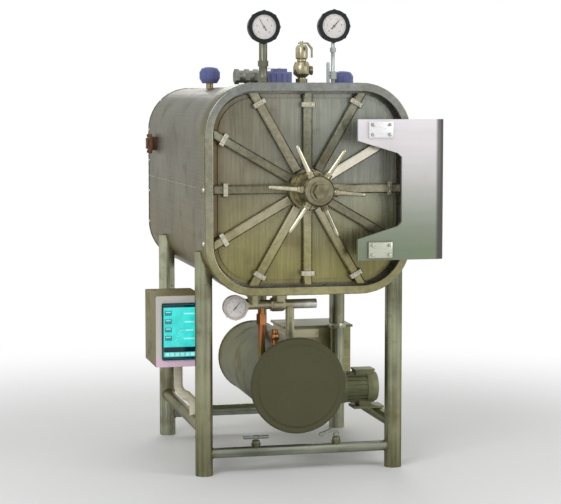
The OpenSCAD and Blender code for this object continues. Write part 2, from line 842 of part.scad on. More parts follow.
module touch_screen()
    color([0.12, 0.22, 0.25]) place() on_box(box_y - panel_t) difference() {
        linear_extrude(height = screen_t) round_rect(screen_w, screen_h, screen_t);
        translate([0, 0, screen_t - eps]) linear_extrude(height = 2 * eps)
            square([screen_w - 2 * screen_t, screen_h - 2 * screen_t], center = true);
    }

module control_bracket()
    color(dull_steel) place() difference() {
        translate([box_left + box_w, leg_y, box_z + box_h / 4])
            cube([bracket_plate_t, box_y + box_d / 3 - leg_y, box_h / 2]);
        leg_tubes(leg_y);
    }

// Conduit from the box's underside down to the side rail, with a ferrule between its bends
module conduit()
    color([0.80, 0.76, 0.66]) place() difference() {
        translate([conduit_x, conduit_y, 0]) {
            translate([0, 0, conduit_end]) cylinder(d = conduit_d, h = box_z - conduit_end);
            nut_z(conduit_d * 1.4, box_z - gland_l, box_z);
            translate([conduit_r, 0, conduit_end]) rotate([90, 0, 0]) rotate([0, 0, 180])
                rotate_extrude(angle = conduit_a) translate([conduit_r, 0]) circle(d = conduit_d);
            translate([conduit_dx - conduit_r, 0, conduit_end - conduit_drop]) rotate([90, 0, 0])
                rotate_extrude(angle = conduit_a) translate([conduit_r, 0]) circle(d = conduit_d);
            translate([conduit_dx, 0, side_rail_z])
                cylinder(d = conduit_d, h = conduit_end - conduit_drop - side_rail_z);
            translate([conduit_dx / 2, 0, conduit_end - conduit_drop / 2]) rotate([0, -conduit_a, 0])
                cylinder(d = conduit_d + 2 * ferrule_t, h = conduit_d / 2, center = true);
        }
        translate([-leg_x, 0, side_rail_z]) bar_y(rail_d, leg_y, rear_leg_y);
    }

// Case of a dial gauge that faces the front, with a lobed bezel
module gauge_case(d, t)
    rotate([-90, 0, 0]) {
        cylinder(d = d * 0.96, h = t / 3);
        cylinder(d = d * 0.9, h = t);
        for (k = [0:bezel_lobes - 1]) rotate(k * 360 / bezel_lobes) translate([d * 0.42, 0, t / 20])
            cylinder(d = d * 0.16, h = t / 5);
    }

// Dial gauge with its dial recessed behind the bezel
module dial_gauge(d, t)
    difference() {
        gauge_case(d, t);
        bar_y(d * 0.8, -eps, t / 8);
    }

module gauge_cases()
    color(bright_steel) place() {
        translate([gauge_left_x, gauge_y, chamber_z + gauge_left_up]) dial_gauge(gauge_d, gauge_t);
        translate([gauge_right_x, gauge_y, chamber_z + gauge_right_up]) dial_gauge(gauge_d, gauge_t);
        translate([small_gauge_x, small_gauge_y, main_z]) dial_gauge(small_gauge_d, gauge_t);
    }

// Left post with two collars, right siphon with its cock and handle, and the boiler gauge's stem
module gauge_stems()
    color(brass) place() difference() {
        union() {
            translate([gauge_left_x, gauge_mid, jacket_top]) {
                cylinder(d = post_left_d, h = gauge_left_up - jacket_half);
                for (k = [0, 1]) translate([0, 0, post_left_d * (0.4 + 2 * k)])
                    cylinder(d = post_left_d * 1.3, h = post_left_d * 0.7, $fn = 6);
            }
            translate([gauge_right_x, gauge_mid, jacket_top]) {
                cylinder(d = siphon_d, h = gauge_right_up - jacket_half);
                nut_z(siphon_d * 2, siphon_d * 2, siphon_d * 4);
                nut_z(siphon_d * 1.6, gauge_right_rise - gauge_d / 2 - siphon_d * 2.4,
                      gauge_right_rise - gauge_d / 2 - siphon_d * 1.2);
                translate([0, 0, siphon_d * 3]) bar_x(siphon_d * 0.7, -siphon_d * 1.4, 0);
                translate([-siphon_d * 1.3, 0, siphon_d * 3.6]) rotate([90, 0, 0])
                    linear_extrude(height = siphon_d * 0.5, center = true)
                        round_rect(siphon_d * 0.8, siphon_d * 5.6, siphon_d * 0.3);
            }
            translate([small_gauge_x, 0, main_z]) bar_y(siphon_d, small_gauge_y + gauge_t / 2, main_y);
        }
        for (g = [[gauge_left_x, gauge_left_up], [gauge_right_x, gauge_right_up]])
            translate([g[0], gauge_y, chamber_z + g[1]]) gauge_case(gauge_d, gauge_t);
        translate([small_gauge_x, small_gauge_y, main_z]) gauge_case(small_gauge_d, gauge_t);
        main_bar();
    }

// Control valve lying on its nipple, with union nuts and the actuator on its right end
module control_valve()
    color(dull_steel) place() translate([valve_left, valve_y, jacket_top + valve_up]) {
        bar_x(valve_d, 0, valve_l);
        for (k = [0, 0.36, 0.68]) nut_x(valve_d * 1.2, valve_l * k, valve_l * (k + 0.16));
        bar_x(valve_d * 1.2, valve_l * 0.9, valve_l);
        translate([valve_l / 2, 0, -valve_up]) cylinder(d = valve_d * 0.6, h = valve_up);
    }

// Moulded actuator housing: a collar on the valve, a body grooved front and back, and a raised cap
module valve_actuator()
    color(blue) place() translate([valve_left + valve_l, valve_y, jacket_top + valve_up]) difference() {
        union() {
            bar_x(actuator_d * 0.7, 0, actuator_l * 0.3);
            translate([actuator_l * 0.1, 0, -actuator_d * 0.1]) rotate([90, 0, 90])
                linear_extrude(height = actuator_l * 0.9) round_rect(actuator_d, actuator_d * 0.8, actuator_d * 0.12);
            translate([actuator_l * 0.35, 0, actuator_d * 0.2]) rotate([90, 0, 90])
                linear_extrude(height = actuator_l * 0.5) round_rect(actuator_d * 0.7, actuator_d * 0.6, actuator_d * 0.1);
        }
        for (side = [-1, 1], k = [0:3]) translate([actuator_l * (0.24 + 0.2 * k), side * actuator_d, -actuator_d * 0.12])
            cube([actuator_l * 0.06, actuator_d * 1.08, actuator_d * 0.5], center = true);
    }

// Spring safety valve with its hexagon, its side outlet and its lifting lever
module safety_valve()
    color(brass) place() translate([safety_x, valve_y, jacket_top]) {
        rotate_extrude() polygon([
            [0, 0], [safety_d * 0.24, 0], [safety_d * 0.24, safety_h * 0.2], [safety_d * 0.5, safety_h * 0.28],
            [safety_d * 0.5, safety_h * 0.44], [safety_d * 0.4, safety_h * 0.54], [safety_d * 0.28, safety_h * 0.56],
            [safety_d * 0.28, safety_h * 0.6], [safety_d * 0.36, safety_h * 0.63], [safety_d * 0.36, safety_h * 0.85],
            [safety_d * 0.26, safety_h * 0.91], [safety_d * 0.1, safety_h * 0.91], [safety_d * 0.1, safety_h], [0, safety_h]
        ]);
        nut_z(safety_d * 0.72, safety_h * 0.08, safety_h * 0.18);
        translate([0, 0, safety_h * 0.36]) {
            bar_x(safety_d * 0.4, 0, safety_d * 0.6);
            bar_x(safety_d * 0.56, safety_d * 0.54, safety_d * 0.64);
        }
        rotate([90, 0, 0]) linear_extrude(height = safety_d * 0.2, center = true) polygon([
            [-safety_d * 0.2, safety_h * 0.93], [safety_d * 0.34, safety_h * 0.93], [safety_d * 0.58, safety_h * 0.82],
            [safety_d * 0.58, safety_h * 0.64], [safety_d * 0.66, safety_h * 0.64], [safety_d * 0.66, safety_h * 0.85],
            [safety_d * 0.38, safety_h * 0.97], [-safety_d * 0.2, safety_h * 0.97]
        ]);
    }

// Vent valves: stubs coped to the jacket, each under a lobed knob
module vent_stubs()
    color(brass) place() difference() {
        for (v = vents) translate([v[0], v[1], chamber_z])
            cylinder(d = stub_d, h = jacket_rise(v[0]) + vent_up);
        prism(jacket_half, 0, body_length);
    }

module vent_knobs()
    color(blue) place()
        for (v = vents) translate([v[0], v[1], chamber_z + jacket_rise(v[0]) + vent_up]) difference() {
            rotate_extrude() polygon([
                [0, 0], [knob_d * 0.36, 0], [knob_d * 0.5, knob_h * 0.3], [knob_d * 0.5, knob_h * 0.68],
                [knob_d * 0.38, knob_h * 0.92], [knob_d * 0.2, knob_h], [0, knob_h]
            ]);
            for (k = [0:knob_lobes - 1]) rotate((k + 0.5) * 360 / knob_lobes) translate([knob_d * 0.56, 0, -eps])
                cylinder(d = knob_d * 0.2, h = knob_h + 2 * eps);
        }

// Door plate with a stepped rim
module door_plate()
    color(steel) place() {
        prism(door_half, door_front + rim_step, door_back);
        prism(door_half - rim_w, door_front, door_front + rim_step);
    }

// Bar along an hour's arm from a radius out, extruded from a section with y across it
module along_arm(hour, r, l) at_hour(hour) translate([r, 0, 0]) rotate([90, 0, 90]) linear_extrude(height = l) children();

// Strap guide that holds an arm to the door plate
module arm_guide(hour)
    along_arm(hour, tip_r(hour) - guide_inset - guide_l / 2, guide_l) difference() {
        polygon([
            [door_front, -guide_half], [guide_front + guide_t / 2, -guide_half], [guide_front, guide_t / 2 - guide_half],
            [guide_front, guide_half - guide_t / 2], [guide_front + guide_t / 2, guide_half], [door_front, guide_half]
        ]);
        translate([arm_front - guide_fit, -arm_w / 2 - guide_fit])
            square([door_front - arm_front + guide_fit + eps, arm_w + 2 * guide_fit]);
    }

module arm_guides() color(bright_steel) place() for (hour = [1:12]) arm_guide(hour);

// Hub housing with a radial bore for each push rod and one for the handwheel's shaft
module hub_housing()
    color(dull_steel) place() difference() {
        translate([0, 0, chamber_z]) {
            bar_y(hub_d, hub_front, door_front);
            bar_y(hub_d * 1.12, arm_front - arm_clear - guide_t, arm_front - arm_clear);
        }
        for (hour = [1:12]) at_hour(hour) translate([rod_bore_r, arm_mid, 0])
            rotate([0, 90, 0]) cylinder(d = rod_d + 2 * run_fit, h = hub_d);
        translate([0, 0, chamber_z]) bar_y(shaft_d + 2 * run_fit, hub_front - eps, hub_front + shaft_l + 2);
    }

// Flat locking arm with bevelled front edges, a tip that follows the lip and an inner push rod
module locking_arm(hour)
    color(bright_steel) place() {
        intersection() {
            along_arm(hour, arm_root_r, collar_size) polygon([
                [arm_front, arm_bevel - arm_w / 2], [arm_front + arm_bevel, -arm_w / 2], [arm_front + arm_t, -arm_w / 2],
                [arm_front + arm_t, arm_w / 2], [arm_front + arm_bevel, arm_w / 2], [arm_front, arm_w / 2 - arm_bevel]
            ]);
            prism(tip_half, arm_front - eps, door_front);
        }
        at_hour(hour) translate([0, arm_mid, 0]) bar_x(rod_d, rod_in_r, arm_root_r + rod_d);
    }

// C-shaped yoke: a folded plate with two pads and the two knuckles that ride on the pins
module yoke_outline()
    polygon([
        [yoke_left, cut_tip], [yoke_left, yoke_half], [yoke_right + eps, yoke_half],
        [yoke_right + eps, -yoke_half], [yoke_left, -yoke_half], [yoke_left, -cut_tip],
        [web_x - yoke_t, -cut_root - yoke_t], [web_x, -cut_root],
        [web_x, cut_root], [web_x - yoke_t, cut_root + yoke_t]
    ]);

// Section of the yoke in plan: the flat plate, the bend and the return flange
module yoke_section() {
    translate([yoke_left - eps, yoke_front]) square([yoke_right - yoke_bend - yoke_left + eps, yoke_t]);
    translate([yoke_right - yoke_bend, yoke_front + yoke_bend]) intersection() {
        difference() {
            circle(yoke_bend);
            circle(yoke_bend - yoke_t);
        }
        translate([0, -yoke_bend]) square(yoke_bend);
    }
    translate([yoke_right - yoke_t, yoke_front + yoke_bend]) square([yoke_t, return_d - yoke_bend]);
}

module knuckle()
    difference() {
        translate([0, 0, lug_h / 2 + hinge_play]) linear_extrude(height = knuckle_h) {
            translate([hinge_x, 0]) circle(d = barrel_d);
            translate([hinge_x - barrel_d / 3, yoke_back - eps]) square([barrel_d * 2 / 3, -yoke_back + eps]);
        }
        translate([hinge_x, 0, 0]) cylinder(d = pin_d + 2 * run_fit, h = lug_h + knuckle_h);
    }

module door_yoke()
    color([0.78, 0.78, 0.76]) place() {
        intersection() {
            translate([0, 0, chamber_z - yoke_half - eps]) linear_extrude(height = 2 * yoke_half + 2 * eps) yoke_section();
            translate([0, yoke_front + return_d + eps, chamber_z]) rotate([90, 0, 0])
                linear_extrude(height = return_d + 2 * eps) yoke_outline();
        }
        for (side = [-1, 1]) {
            translate([post_x, yoke_front - pad_t / 2, chamber_z + side * post_up])
                cube([post_d * 1.75, pad_t + eps, post_d * 1.15], center = true);
            translate([0, 0, chamber_z + side * lug_up]) knuckle();
        }
    }

module yoke_posts()
    color(dull_steel) place()
        for (side = [-1, 1]) translate([post_x, 0, chamber_z + side * post_up]) bar_y(post_d, yoke_back, door_front);

// Spoke along +x: a socket in the boss, a tapered grip and a rounded tip
module spoke()
    rotate([0, 90, 0]) rotate_extrude() polygon([
        [0, boss_d * 0.4], [spoke_d * 0.8, boss_d * 0.4], [spoke_d * 0.8, boss_d / 2 + socket_l],
        [spoke_d / 2, boss_d / 2 + socket_l], [spoke_tip / 2, spoke_r - spoke_tip / 3],
        [spoke_tip / 4, spoke_r], [0, spoke_r]
    ]);

// Capstan handwheel: a turned boss with a nut on its nose, radial spokes and the shaft
module handwheel()
    color(bright_steel) place() translate([0, 0, chamber_z]) {
        translate([0, boss_back, 0]) rotate([90, 0, 0]) {
            rotate_extrude() polygon([
                [0, 0], [boss_d * 0.42, 0], [boss_d * 0.42, boss_l * 0.12], [boss_d / 2, boss_l * 0.2],
                [boss_d / 2, boss_l * 0.9], [boss_d * 0.44, boss_l], [0, boss_l]
            ]);
            translate([0, 0, boss_l - eps]) cylinder(d = nut_d * 1.3, h = nose_l * 0.3 + eps);
            nut_z(nut_d, boss_l - eps, boss_l + nose_l);
        }
        bar_y(shaft_d, boss_back - eps, hub_front + shaft_l);
        for (k = [0:spoke_n - 1]) rotate([0, -spoke_a - k * 360 / spoke_n, 0]) translate([0, spoke_y, 0]) spoke();
    }

door_lip();
door_collar();
mouth_flange();
door_seal();
inner_chamber();
chamber_back();
jacket_upper();
jacket_lower();
back_cover();
side_nozzle();
hinge_brackets();
legs();
side_rails();
rear_rail();
drain_pipe();
drain_cocks();
boiler_shell();
boiler_cover();
boiler_hanger();
feed_pump();
steam_main();
copper_pipe();
try_cock();
feed_tank();
control_box();
control_panel();
touch_screen();
control_bracket();
conduit();
gauge_cases();
gauge_stems();
control_valve();
valve_actuator();
safety_valve();
vent_stubs();
vent_knobs();
door_plate();
arm_guides();
hub_housing();
door_yoke();
yoke_posts();
handwheel();
cock_tee();
cock_lever();
locking_arm(1);  // arm_01
locking_arm(2);  // arm_02
locking_arm(3);  // arm_03
locking_arm(4);  // arm_04
locking_arm(5);  // arm_05
locking_arm(6);  // arm_06
locking_arm(7);  // arm_07
locking_arm(8);  // arm_08
locking_arm(9);  // arm_09
locking_arm(10);  // arm_10
locking_arm(11);  // arm_11
locking_arm(12);  // arm_12
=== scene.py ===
# Pilot retort sterilizer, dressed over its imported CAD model.
# Lengths are in metres in the model's own frame. spot(), tile() and the named places are in millimetres.
import math
import bmesh
import bpy
from mathutils import Matrix, Vector


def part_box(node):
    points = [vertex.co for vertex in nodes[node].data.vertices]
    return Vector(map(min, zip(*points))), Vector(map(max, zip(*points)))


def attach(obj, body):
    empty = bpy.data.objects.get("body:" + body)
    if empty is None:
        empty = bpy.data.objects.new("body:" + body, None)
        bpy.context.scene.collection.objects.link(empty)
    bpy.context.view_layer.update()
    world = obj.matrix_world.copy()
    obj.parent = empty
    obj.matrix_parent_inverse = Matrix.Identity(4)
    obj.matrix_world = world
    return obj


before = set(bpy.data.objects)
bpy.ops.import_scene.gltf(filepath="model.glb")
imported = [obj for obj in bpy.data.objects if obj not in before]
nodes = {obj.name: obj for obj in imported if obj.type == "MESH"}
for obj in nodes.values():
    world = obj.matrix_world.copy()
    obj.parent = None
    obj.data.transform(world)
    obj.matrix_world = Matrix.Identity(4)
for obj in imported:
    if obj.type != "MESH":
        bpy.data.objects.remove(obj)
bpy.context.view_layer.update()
scene = bpy.context.scene
scene.view_settings.view_transform = "Standard"

# The camera stands left of the door and a little above the hub, behind a long lens, so the
# chamber's left side, the door and the underframe all show.
PHOTO_WIDTH, FOCAL_PIXELS, SENSOR = 561, 1731.46, 36
LOOK_DOWN, LOOK_RIGHT = 0.086, 0.2288
camera = bpy.data.objects.new("camera", bpy.data.cameras.new("camera"))
camera.location = (-1.2541, -5.5812, 1.1494)
camera.rotation_euler = (math.pi / 2 - LOOK_DOWN, 0, -LOOK_RIGHT)
camera.data.sensor_width = SENSOR
camera.data.lens = FOCAL_PIXELS * SENSOR / PHOTO_WIDTH
scene.collection.objects.link(camera)
scene.camera = camera


# The studio is a pale floor in a white surround, with a broad lamp over the door's left, a weaker
# one on its right and one behind. The surround shows white, and lights the machine less than that.
class Wire:
    """A shader value. Arithmetic on it adds Math nodes to its tree."""

    def __init__(self, paint, socket):
        self.paint, self.socket = paint, socket

    def out(self, name):
        return Wire(self.paint, self.socket.node.outputs[name])

    def __add__(self, other):
        return self.paint.math("ADD", self, other)

    def __mul__(self, other):
        return self.paint.math("MULTIPLY", self, other)

    def __sub__(self, other):
        return self.paint.math("SUBTRACT", self, other)

    def __rsub__(self, other):
        return self.paint.math("SUBTRACT", other, self)

    def __or__(self, other):
        return self.paint.math("MAXIMUM", self, other)

    __radd__, __rmul__ = __add__, __mul__


class Paint:
    """A node tree in the making: one method adds any node, and values or Wires feed its sockets."""

    def __init__(self, tree):
        self.tree = tree

    def node(self, kind, settings=None, sockets=None, out=0):
        """Adds a node, sets and feeds it, and gives one of its outputs."""
        made = self.tree.nodes.new(kind)
        for key, value in (settings or {}).items():
            setattr(made, key, value)
        self.feed(made, sockets or {})
        return Wire(self, made.outputs[out])

    def feed(self, made, sockets):
        """Sets sockets to values, or links Wires to them."""
        for key, value in sockets.items():
            if isinstance(value, Wire):
                self.tree.links.new(value.socket, made.inputs[key])
            else:
                made.inputs[key].default_value = value

    def surface(self, sockets):
        """Feeds the material's own shader."""
        self.feed(self.tree.nodes["Principled BSDF"], sockets)

    def place(self):
        """Where a point is on the object."""
        return self.node("ShaderNodeTexCoord").out("Object")

    def seen(self):
        """1 for a ray from the camera, a gloss or a glass, and 0 for a ray that only lights."""
        ray = self.node("ShaderNodeLightPath")
        return ray.out("Is Camera Ray") | ray.out("Is Glossy Ray") | ray.out("Is Transmission Ray")

    def math(self, operation, a, b):
        return self.node("ShaderNodeMath", {"operation": operation}, {0: a, 1: b})

    def mix(self, share, a, b, blend="MIX"):
        """Colour a where share is 0, colour b or its blend with a where share is 1."""
        kind = {"data_type": "RGBA", "blend_type": blend}
        return self.node("ShaderNodeMix", kind, {0: share, 6: a, 7: b}, 2)

    def noise(self, vector, scale, detail):
        return self.node("ShaderNodeTexNoise", None, {"Vector": vector, "Scale": scale, "Detail": detail})

    def between(self, value, low, high):
        """0 up to low, 1 from high on, and a smooth step in between."""
        step = {"interpolation_type": "SMOOTHSTEP"}
        return self.node("ShaderNodeMapRange", step, {"Value": value, "From Min": low, "From Max": high})


def new_finish(name):
    """A new material and its node tree."""
    finish = bpy.data.materials.new(name)
    finish.use_nodes = True
    return finish, Paint(finish.node_tree)


def new_mesh(name, shape):
    """Makes a bmesh a mesh and frees it."""
    mesh = bpy.data.meshes.new(name)
    shape.to_mesh(mesh)
    shape.free()
    return mesh


WHITE = (1, 1, 1, 1)
SURROUND_LIGHT = 0.5
scene.world = bpy.data.worlds.new("studio")
scene.world.use_nodes = True
sky = Paint(scene.world.node_tree)
sky_strength = SURROUND_LIGHT + sky.seen() * (1 - SURROUND_LIGHT)
sky.feed(sky.tree.nodes["Background"], {"Color": WHITE, "Strength": sky_strength})

FLOOR_RADIUS, FLOOR_SIDES, FLOOR_GREY = 40, 128, (0.86, 0.86, 0.86, 1)
SHADOW_END, WHITE_START = 0.9, 2.6
floor_disc = bmesh.new()
bmesh.ops.create_circle(floor_disc, cap_ends=True, segments=FLOOR_SIDES, radius=FLOOR_RADIUS)
floor = bpy.data.objects.new("floor", new_mesh("floor", floor_disc))
scene.collection.objects.link(floor)
floor_paint, ground = new_finish("floor")
floor.data.materials.append(floor_paint)
ground.surface({"Base Color": FLOOR_GREY, "Roughness": 0.9})
reach = ground.node("ShaderNodeVectorMath", {"operation": "LENGTH"}, {0: ground.place()}, 1)
whitened = ground.between(reach, SHADOW_END, WHITE_START) * ground.seen()
lit = Wire(ground, ground.tree.nodes["Principled BSDF"].outputs[0])
white = ground.node("ShaderNodeEmission", None, {"Color": WHITE, "Strength": 1.0})
shade = ground.node("ShaderNodeMixShader", None, {0: whitened, 1: lit, 2: white})
ground.feed(ground.tree.nodes["Material Output"], {"Surface": shade})

for name, place, aim, side, watts in (
    ("key_lamp", (-2.6, -3.6, 3.4), (0, -0.2, 0.8), 2.4, 85),
    ("fill_lamp", (3.2, -3.2, 1.8), (0, -0.2, 0.7), 2.0, 40),
    ("back_lamp", (0.8, 4.2, 3.2), (0, 0.2, 0.8), 2.4, 60),
):
    lamp = bpy.data.objects.new(name, bpy.data.lights.new(name, "AREA"))
    lamp.data.size, lamp.data.energy = side, watts
    lamp.location = place
    lamp.rotation_euler = (Vector(aim) - Vector(place)).to_track_quat("-Z", "Y").to_euler()
    scene.collection.objects.link(lamp)

# The underframe: four legs and the rails between them, satin dairy tube that is coped and welded.
# Years of wet floors have left brown specks on it, and the welds a straw tint. A ring is clamped
# round the right rear leg.
FORWARD, BACKWARD, LEFT, UP = (0, -1, 0), (0, 1, 0), (-1, 0, 0), (0, 0, 1)
lip_low, lip_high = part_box("door_lip")
axis_x = (lip_low.x + lip_high.x) / 2


def spot(right, back, up):
    """A place in millimetres: right of the chamber's axis, back from the lip and up from the floor."""
    return Vector((axis_x + right / 1000, lip_low.y + back / 1000, up / 1000))


def tone(red, green, blue):
    """A colour as it is seen on a screen, from 0 to 255, as Blender's linear colour."""
    linear = [((v / 255 + 0.055) / 1.055) ** 2.4 if v > 10 else v / 3294.6 for v in (red, green, blue)]
    return (*linear, 1)


STAIN_BROWN, RUST_BROWN = tone(96, 84, 54), tone(128, 78, 40)
CLOUD_SCALE, BLOT_SCALE, SPECK_SCALE = 5.0, 13.0, 55.0
SHINE, SHINE_TINT = 0.2, (0.5, 0.49, 0.44, 1)
GRAIN_BUMP, GRAIN_HEIGHT = 0.18, 0.0006


def steel(name, colour, grain, rough=0.36, metal=0.7, depth=0.4, stain=0.35, rust=0.0, fades=(), centre=None):
    """Worn steel or paint: lines along the axis with the smallest grain, clouds, stains and rust specks.
    Each fade is (axis, at, clear, colour): the colour that it takes at one place, gone by a second one.
    The axis "R" is the distance from a centre."""
    finish, paint = new_finish(name)
    place = paint.place()
    lines = paint.noise(paint.node("ShaderNodeMapping", None, {"Vector": place, "Scale": grain}), 1.0, 4.0)
    cloud = paint.noise(place, CLOUD_SCALE, 5.0)
    parts = paint.node("ShaderNodeSeparateXYZ", None, {0: place})
    skin = colour
    for axis, at, clear, other in fades:
        if axis == "R":
            reading = paint.node("ShaderNodeVectorMath", {"operation": "DISTANCE"}, {0: place, 1: centre}, 1)
        else:
            reading = parts.out(axis)
        skin = paint.mix(paint.between(reading, at, clear), other, skin)
    tarnish = paint.between(cloud * 0.6 + lines * 0.4, 0.3, 0.7)
    skin = paint.mix(depth, skin, tarnish, "MULTIPLY")
    blots = paint.between(paint.noise(place, BLOT_SCALE, 6.0), 0.52, 0.72) * stain
    skin = paint.mix(blots, skin, STAIN_BROWN)
    rough_in = rough + (lines - 0.5) * 0.3 + blots * 0.25
    if rust:
        specks = paint.between(paint.noise(place, SPECK_SCALE, 5.0), 0.66 - 0.08 * rust, 0.74) * min(1.0, rust)
        skin = paint.mix(specks, skin, RUST_BROWN)
        rough_in = rough_in + specks * 0.4
    ripple = {"Strength": GRAIN_BUMP, "Distance": GRAIN_HEIGHT, "Height": lines}
    paint.surface({
        "Base Color": skin, "Metallic": metal, "Roughness": rough_in,
        "Normal": paint.node("ShaderNodeBump", None, ripple),
        "Specular IOR Level": SHINE, "Specular Tint": SHINE_TINT,
    })
    return finish


def dress(finish, *names, edge=0.0):
    """Gives CAD nodes a finish and, where edge is set, softly broken edges."""
    for name in names:
        nodes[name].material_slots[0].material = finish
        if edge:
            nodes[name].modifiers.new("weld", "WELD").merge_threshold = 0.00002
            broken = nodes[name].modifiers.new("edge", "BEVEL")
            broken.width, broken.segments, broken.limit_method = edge, 2, "ANGLE"
            broken.angle_limit, broken.harden_normals = math.radians(40), False


def add_piece(name, shape, finish, body="root"):
    """Makes a bmesh or a mesh into a smoothly shaded piece that rides on a body."""
    if isinstance(shape, bmesh.types.BMesh):
        bmesh.ops.recalc_face_normals(shape, faces=shape.faces)
        shape = new_mesh(name, shape)
    shape.shade_smooth()
    shape.set_sharp_from_angle(angle=math.radians(35))
    shape.materials.clear()
    shape.materials.append(finish)
    piece = bpy.data.objects.new(name, shape)
    scene.collection.objects.link(piece)
    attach(piece, body)


def mesh_of(curve):
    """The mesh of a curve or a text."""
    source = bpy.data.objects.new(curve.name, curve)
    scene.collection.objects.link(source)
    mesh = bpy.data.meshes.new_from_object(source.evaluated_get(bpy.context.evaluated_depsgraph_get()))
    bpy.data.objects.remove(source)
    return mesh


def bead(name, paths, size, finish, closed=True):
    """Rippled weld beads along paths of points, as one piece."""
    curve = bpy.data.curves.new(name, "CURVE")
    curve.dimensions, curve.use_fill_caps = "3D", True
    curve.bevel_depth, curve.bevel_resolution = size, 1
    for path in paths:
        line = curve.splines.new("POLY")
        line.points.add(len(path) - 1)
        line.use_cyclic_u = closed
        for k, (point, at) in enumerate(zip(line.points, path)):
            point.co, point.radius = (*at, 1), 1.0 if k % 2 else 0.8
    add_piece(name, mesh_of(curve), finish)


# The legs are painted lighter towards the back, painted light on the rear legs, and are a little darker and yellower
# towards the floor.
tube_steel = steel("tube_steel", tone(158, 160, 132), (110, 110, 3), rough=0.28, metal=0.85, depth=0.7,
                   stain=0.5, rust=0.5,
                   fades=(("Z", 0.0, 0.5, tone(150, 149, 116)), ("Y", 0.2, 0.0, tone(196, 199, 170))))
rail_steel = steel("rail_steel", tone(150, 150, 118), (110, 3, 110), rough=0.3, metal=0.8, depth=0.6,
                   stain=0.5, rust=0.6)
cross_steel = steel("cross_steel", tone(162, 167, 150), (3, 110, 110), rough=0.28, metal=0.82, depth=0.6,
                    stain=0.4, rust=0.4)
weld_steel = steel("weld_steel", tone(142, 130, 98), (90, 90, 90), rough=0.5, metal=0.7, stain=0.6, rust=0.4)
dress(tube_steel, "legs")
dress(rail_steel, "side_rails")
dress(cross_steel, "rear_rail")

LEG_X, LEG_R, RAIL_R, DRAIN_R = 304, 27, 20, 16
FRONT_LEG, REAR_LEG = 125, 815
SIDE_RAIL_UP, REAR_RAIL_UP, DRAIN_UP = 142, 78, 68
RING_STEPS = 40


def rail_ring(x, y, z, radius, along):
    """Where a level tube meets a leg: along is the direction that the tube leaves in, as (x, y)."""
    ring = []
    for k in range(RING_STEPS):
        turn = math.tau * k / RING_STEPS
        aside, up = radius * math.cos(turn), radius * math.sin(turn)
        out = math.sqrt(LEG_R**2 - aside**2)
        ring.append(spot(x + along[0] * out + along[1] * aside, y + along[1] * out + along[0] * aside, z + up))
    return ring


frame_joints = []
for side in (-1, 1):
    frame_joints += [
        rail_ring(side * LEG_X, FRONT_LEG, SIDE_RAIL_UP, RAIL_R, (0, 1)),
        rail_ring(side * LEG_X, REAR_LEG, SIDE_RAIL_UP, RAIL_R, (0, -1)),
        rail_ring(side * LEG_X, REAR_LEG, REAR_RAIL_UP, RAIL_R, (-side, 0)),
        rail_ring(side * LEG_X, FRONT_LEG, DRAIN_UP, DRAIN_R, (-side, 0)),
    ]
bead("frame_welds", frame_joints, size=0.0028, finish=weld_steel)


def facing(at, direction):
    """The matrix that stands a shape drawn along +Z at a place, along a direction."""
    return Matrix.Translation(at) @ Vector(direction).to_track_quat("Z", "Y").to_matrix().to_4x4()


def since(shape, known):
    """The points that a shape has gained since it had the known ones."""
    return [v for v in shape.verts if v not in known]


def edges_of(points):
    """The edges at some points, each once."""
    return list(dict.fromkeys(e for v in points for e in v.link_edges))


def soften(shape, edges, size):
    bmesh.ops.bevel(shape, geom=edges, offset=size, affect="EDGES", segments=2, profile=0.5, material=-1)


def turned(shape, profile, at, direction, steps=40):
    """Turns a profile of (radius, height) points in metres round an axis, and stands it at a place."""
    known = set(shape.verts)
    line = [shape.verts.new((radius, 0, height)) for radius, height in profile]
    edges = [shape.edges.new(pair) for pair in zip(line, line[1:])]
    bmesh.ops.spin(shape, geom=line + edges, cent=(0, 0, 0), axis=(0, 0, 1), angle=math.tau, steps=steps,
                   use_merge=True)
    bmesh.ops.remove_doubles(shape, verts=since(shape, known), dist=1e-6)
    bmesh.ops.transform(shape, matrix=facing(at, direction), verts=since(shape, known))


def bolt(shape, at, direction, across, high):
    """A hexagon head on its washer."""
    known = set(shape.verts)
    washer, head = across * 0.62, across * 0.56
    bmesh.ops.create_cone(shape, cap_ends=True, segments=20, radius1=washer, radius2=washer,
                          depth=high * 0.3, matrix=Matrix.Translation((0, 0, high * 0.15)))
    made = bmesh.ops.create_cone(shape, cap_ends=True, segments=6, radius1=head, radius2=head,
                                 depth=high * 0.8, matrix=Matrix.Translation((0, 0, high * 0.65)))
    top = [e for e in edges_of(made["verts"]) if all(v.co.z > high for v in e.verts)]
    soften(shape, top, across * 0.07)
    bmesh.ops.transform(shape, matrix=facing(at, direction), verts=since(shape, known))


CLAMP_PROFILE = ((0.0268, 0.356), (0.0310, 0.356), (0.0325, 0.359), (0.0325, 0.371), (0.0310, 0.374),
                 (0.0268, 0.374), (0.0268, 0.356))
CLAMP_R, CLAMP_UP = 32, 365
clamp_steel = steel("clamp_steel", tone(190, 190, 164), (60, 60, 60), rough=0.28, metal=0.8, depth=0.3, stain=0.3)
clamp = bmesh.new()
turned(clamp, CLAMP_PROFILE, spot(LEG_X, REAR_LEG, 0), UP)
bolt(clamp, spot(LEG_X, REAR_LEG - CLAMP_R, CLAMP_UP), FORWARD, across=0.010, high=0.007)
add_piece("leg_clamp", clamp, clamp_steel)
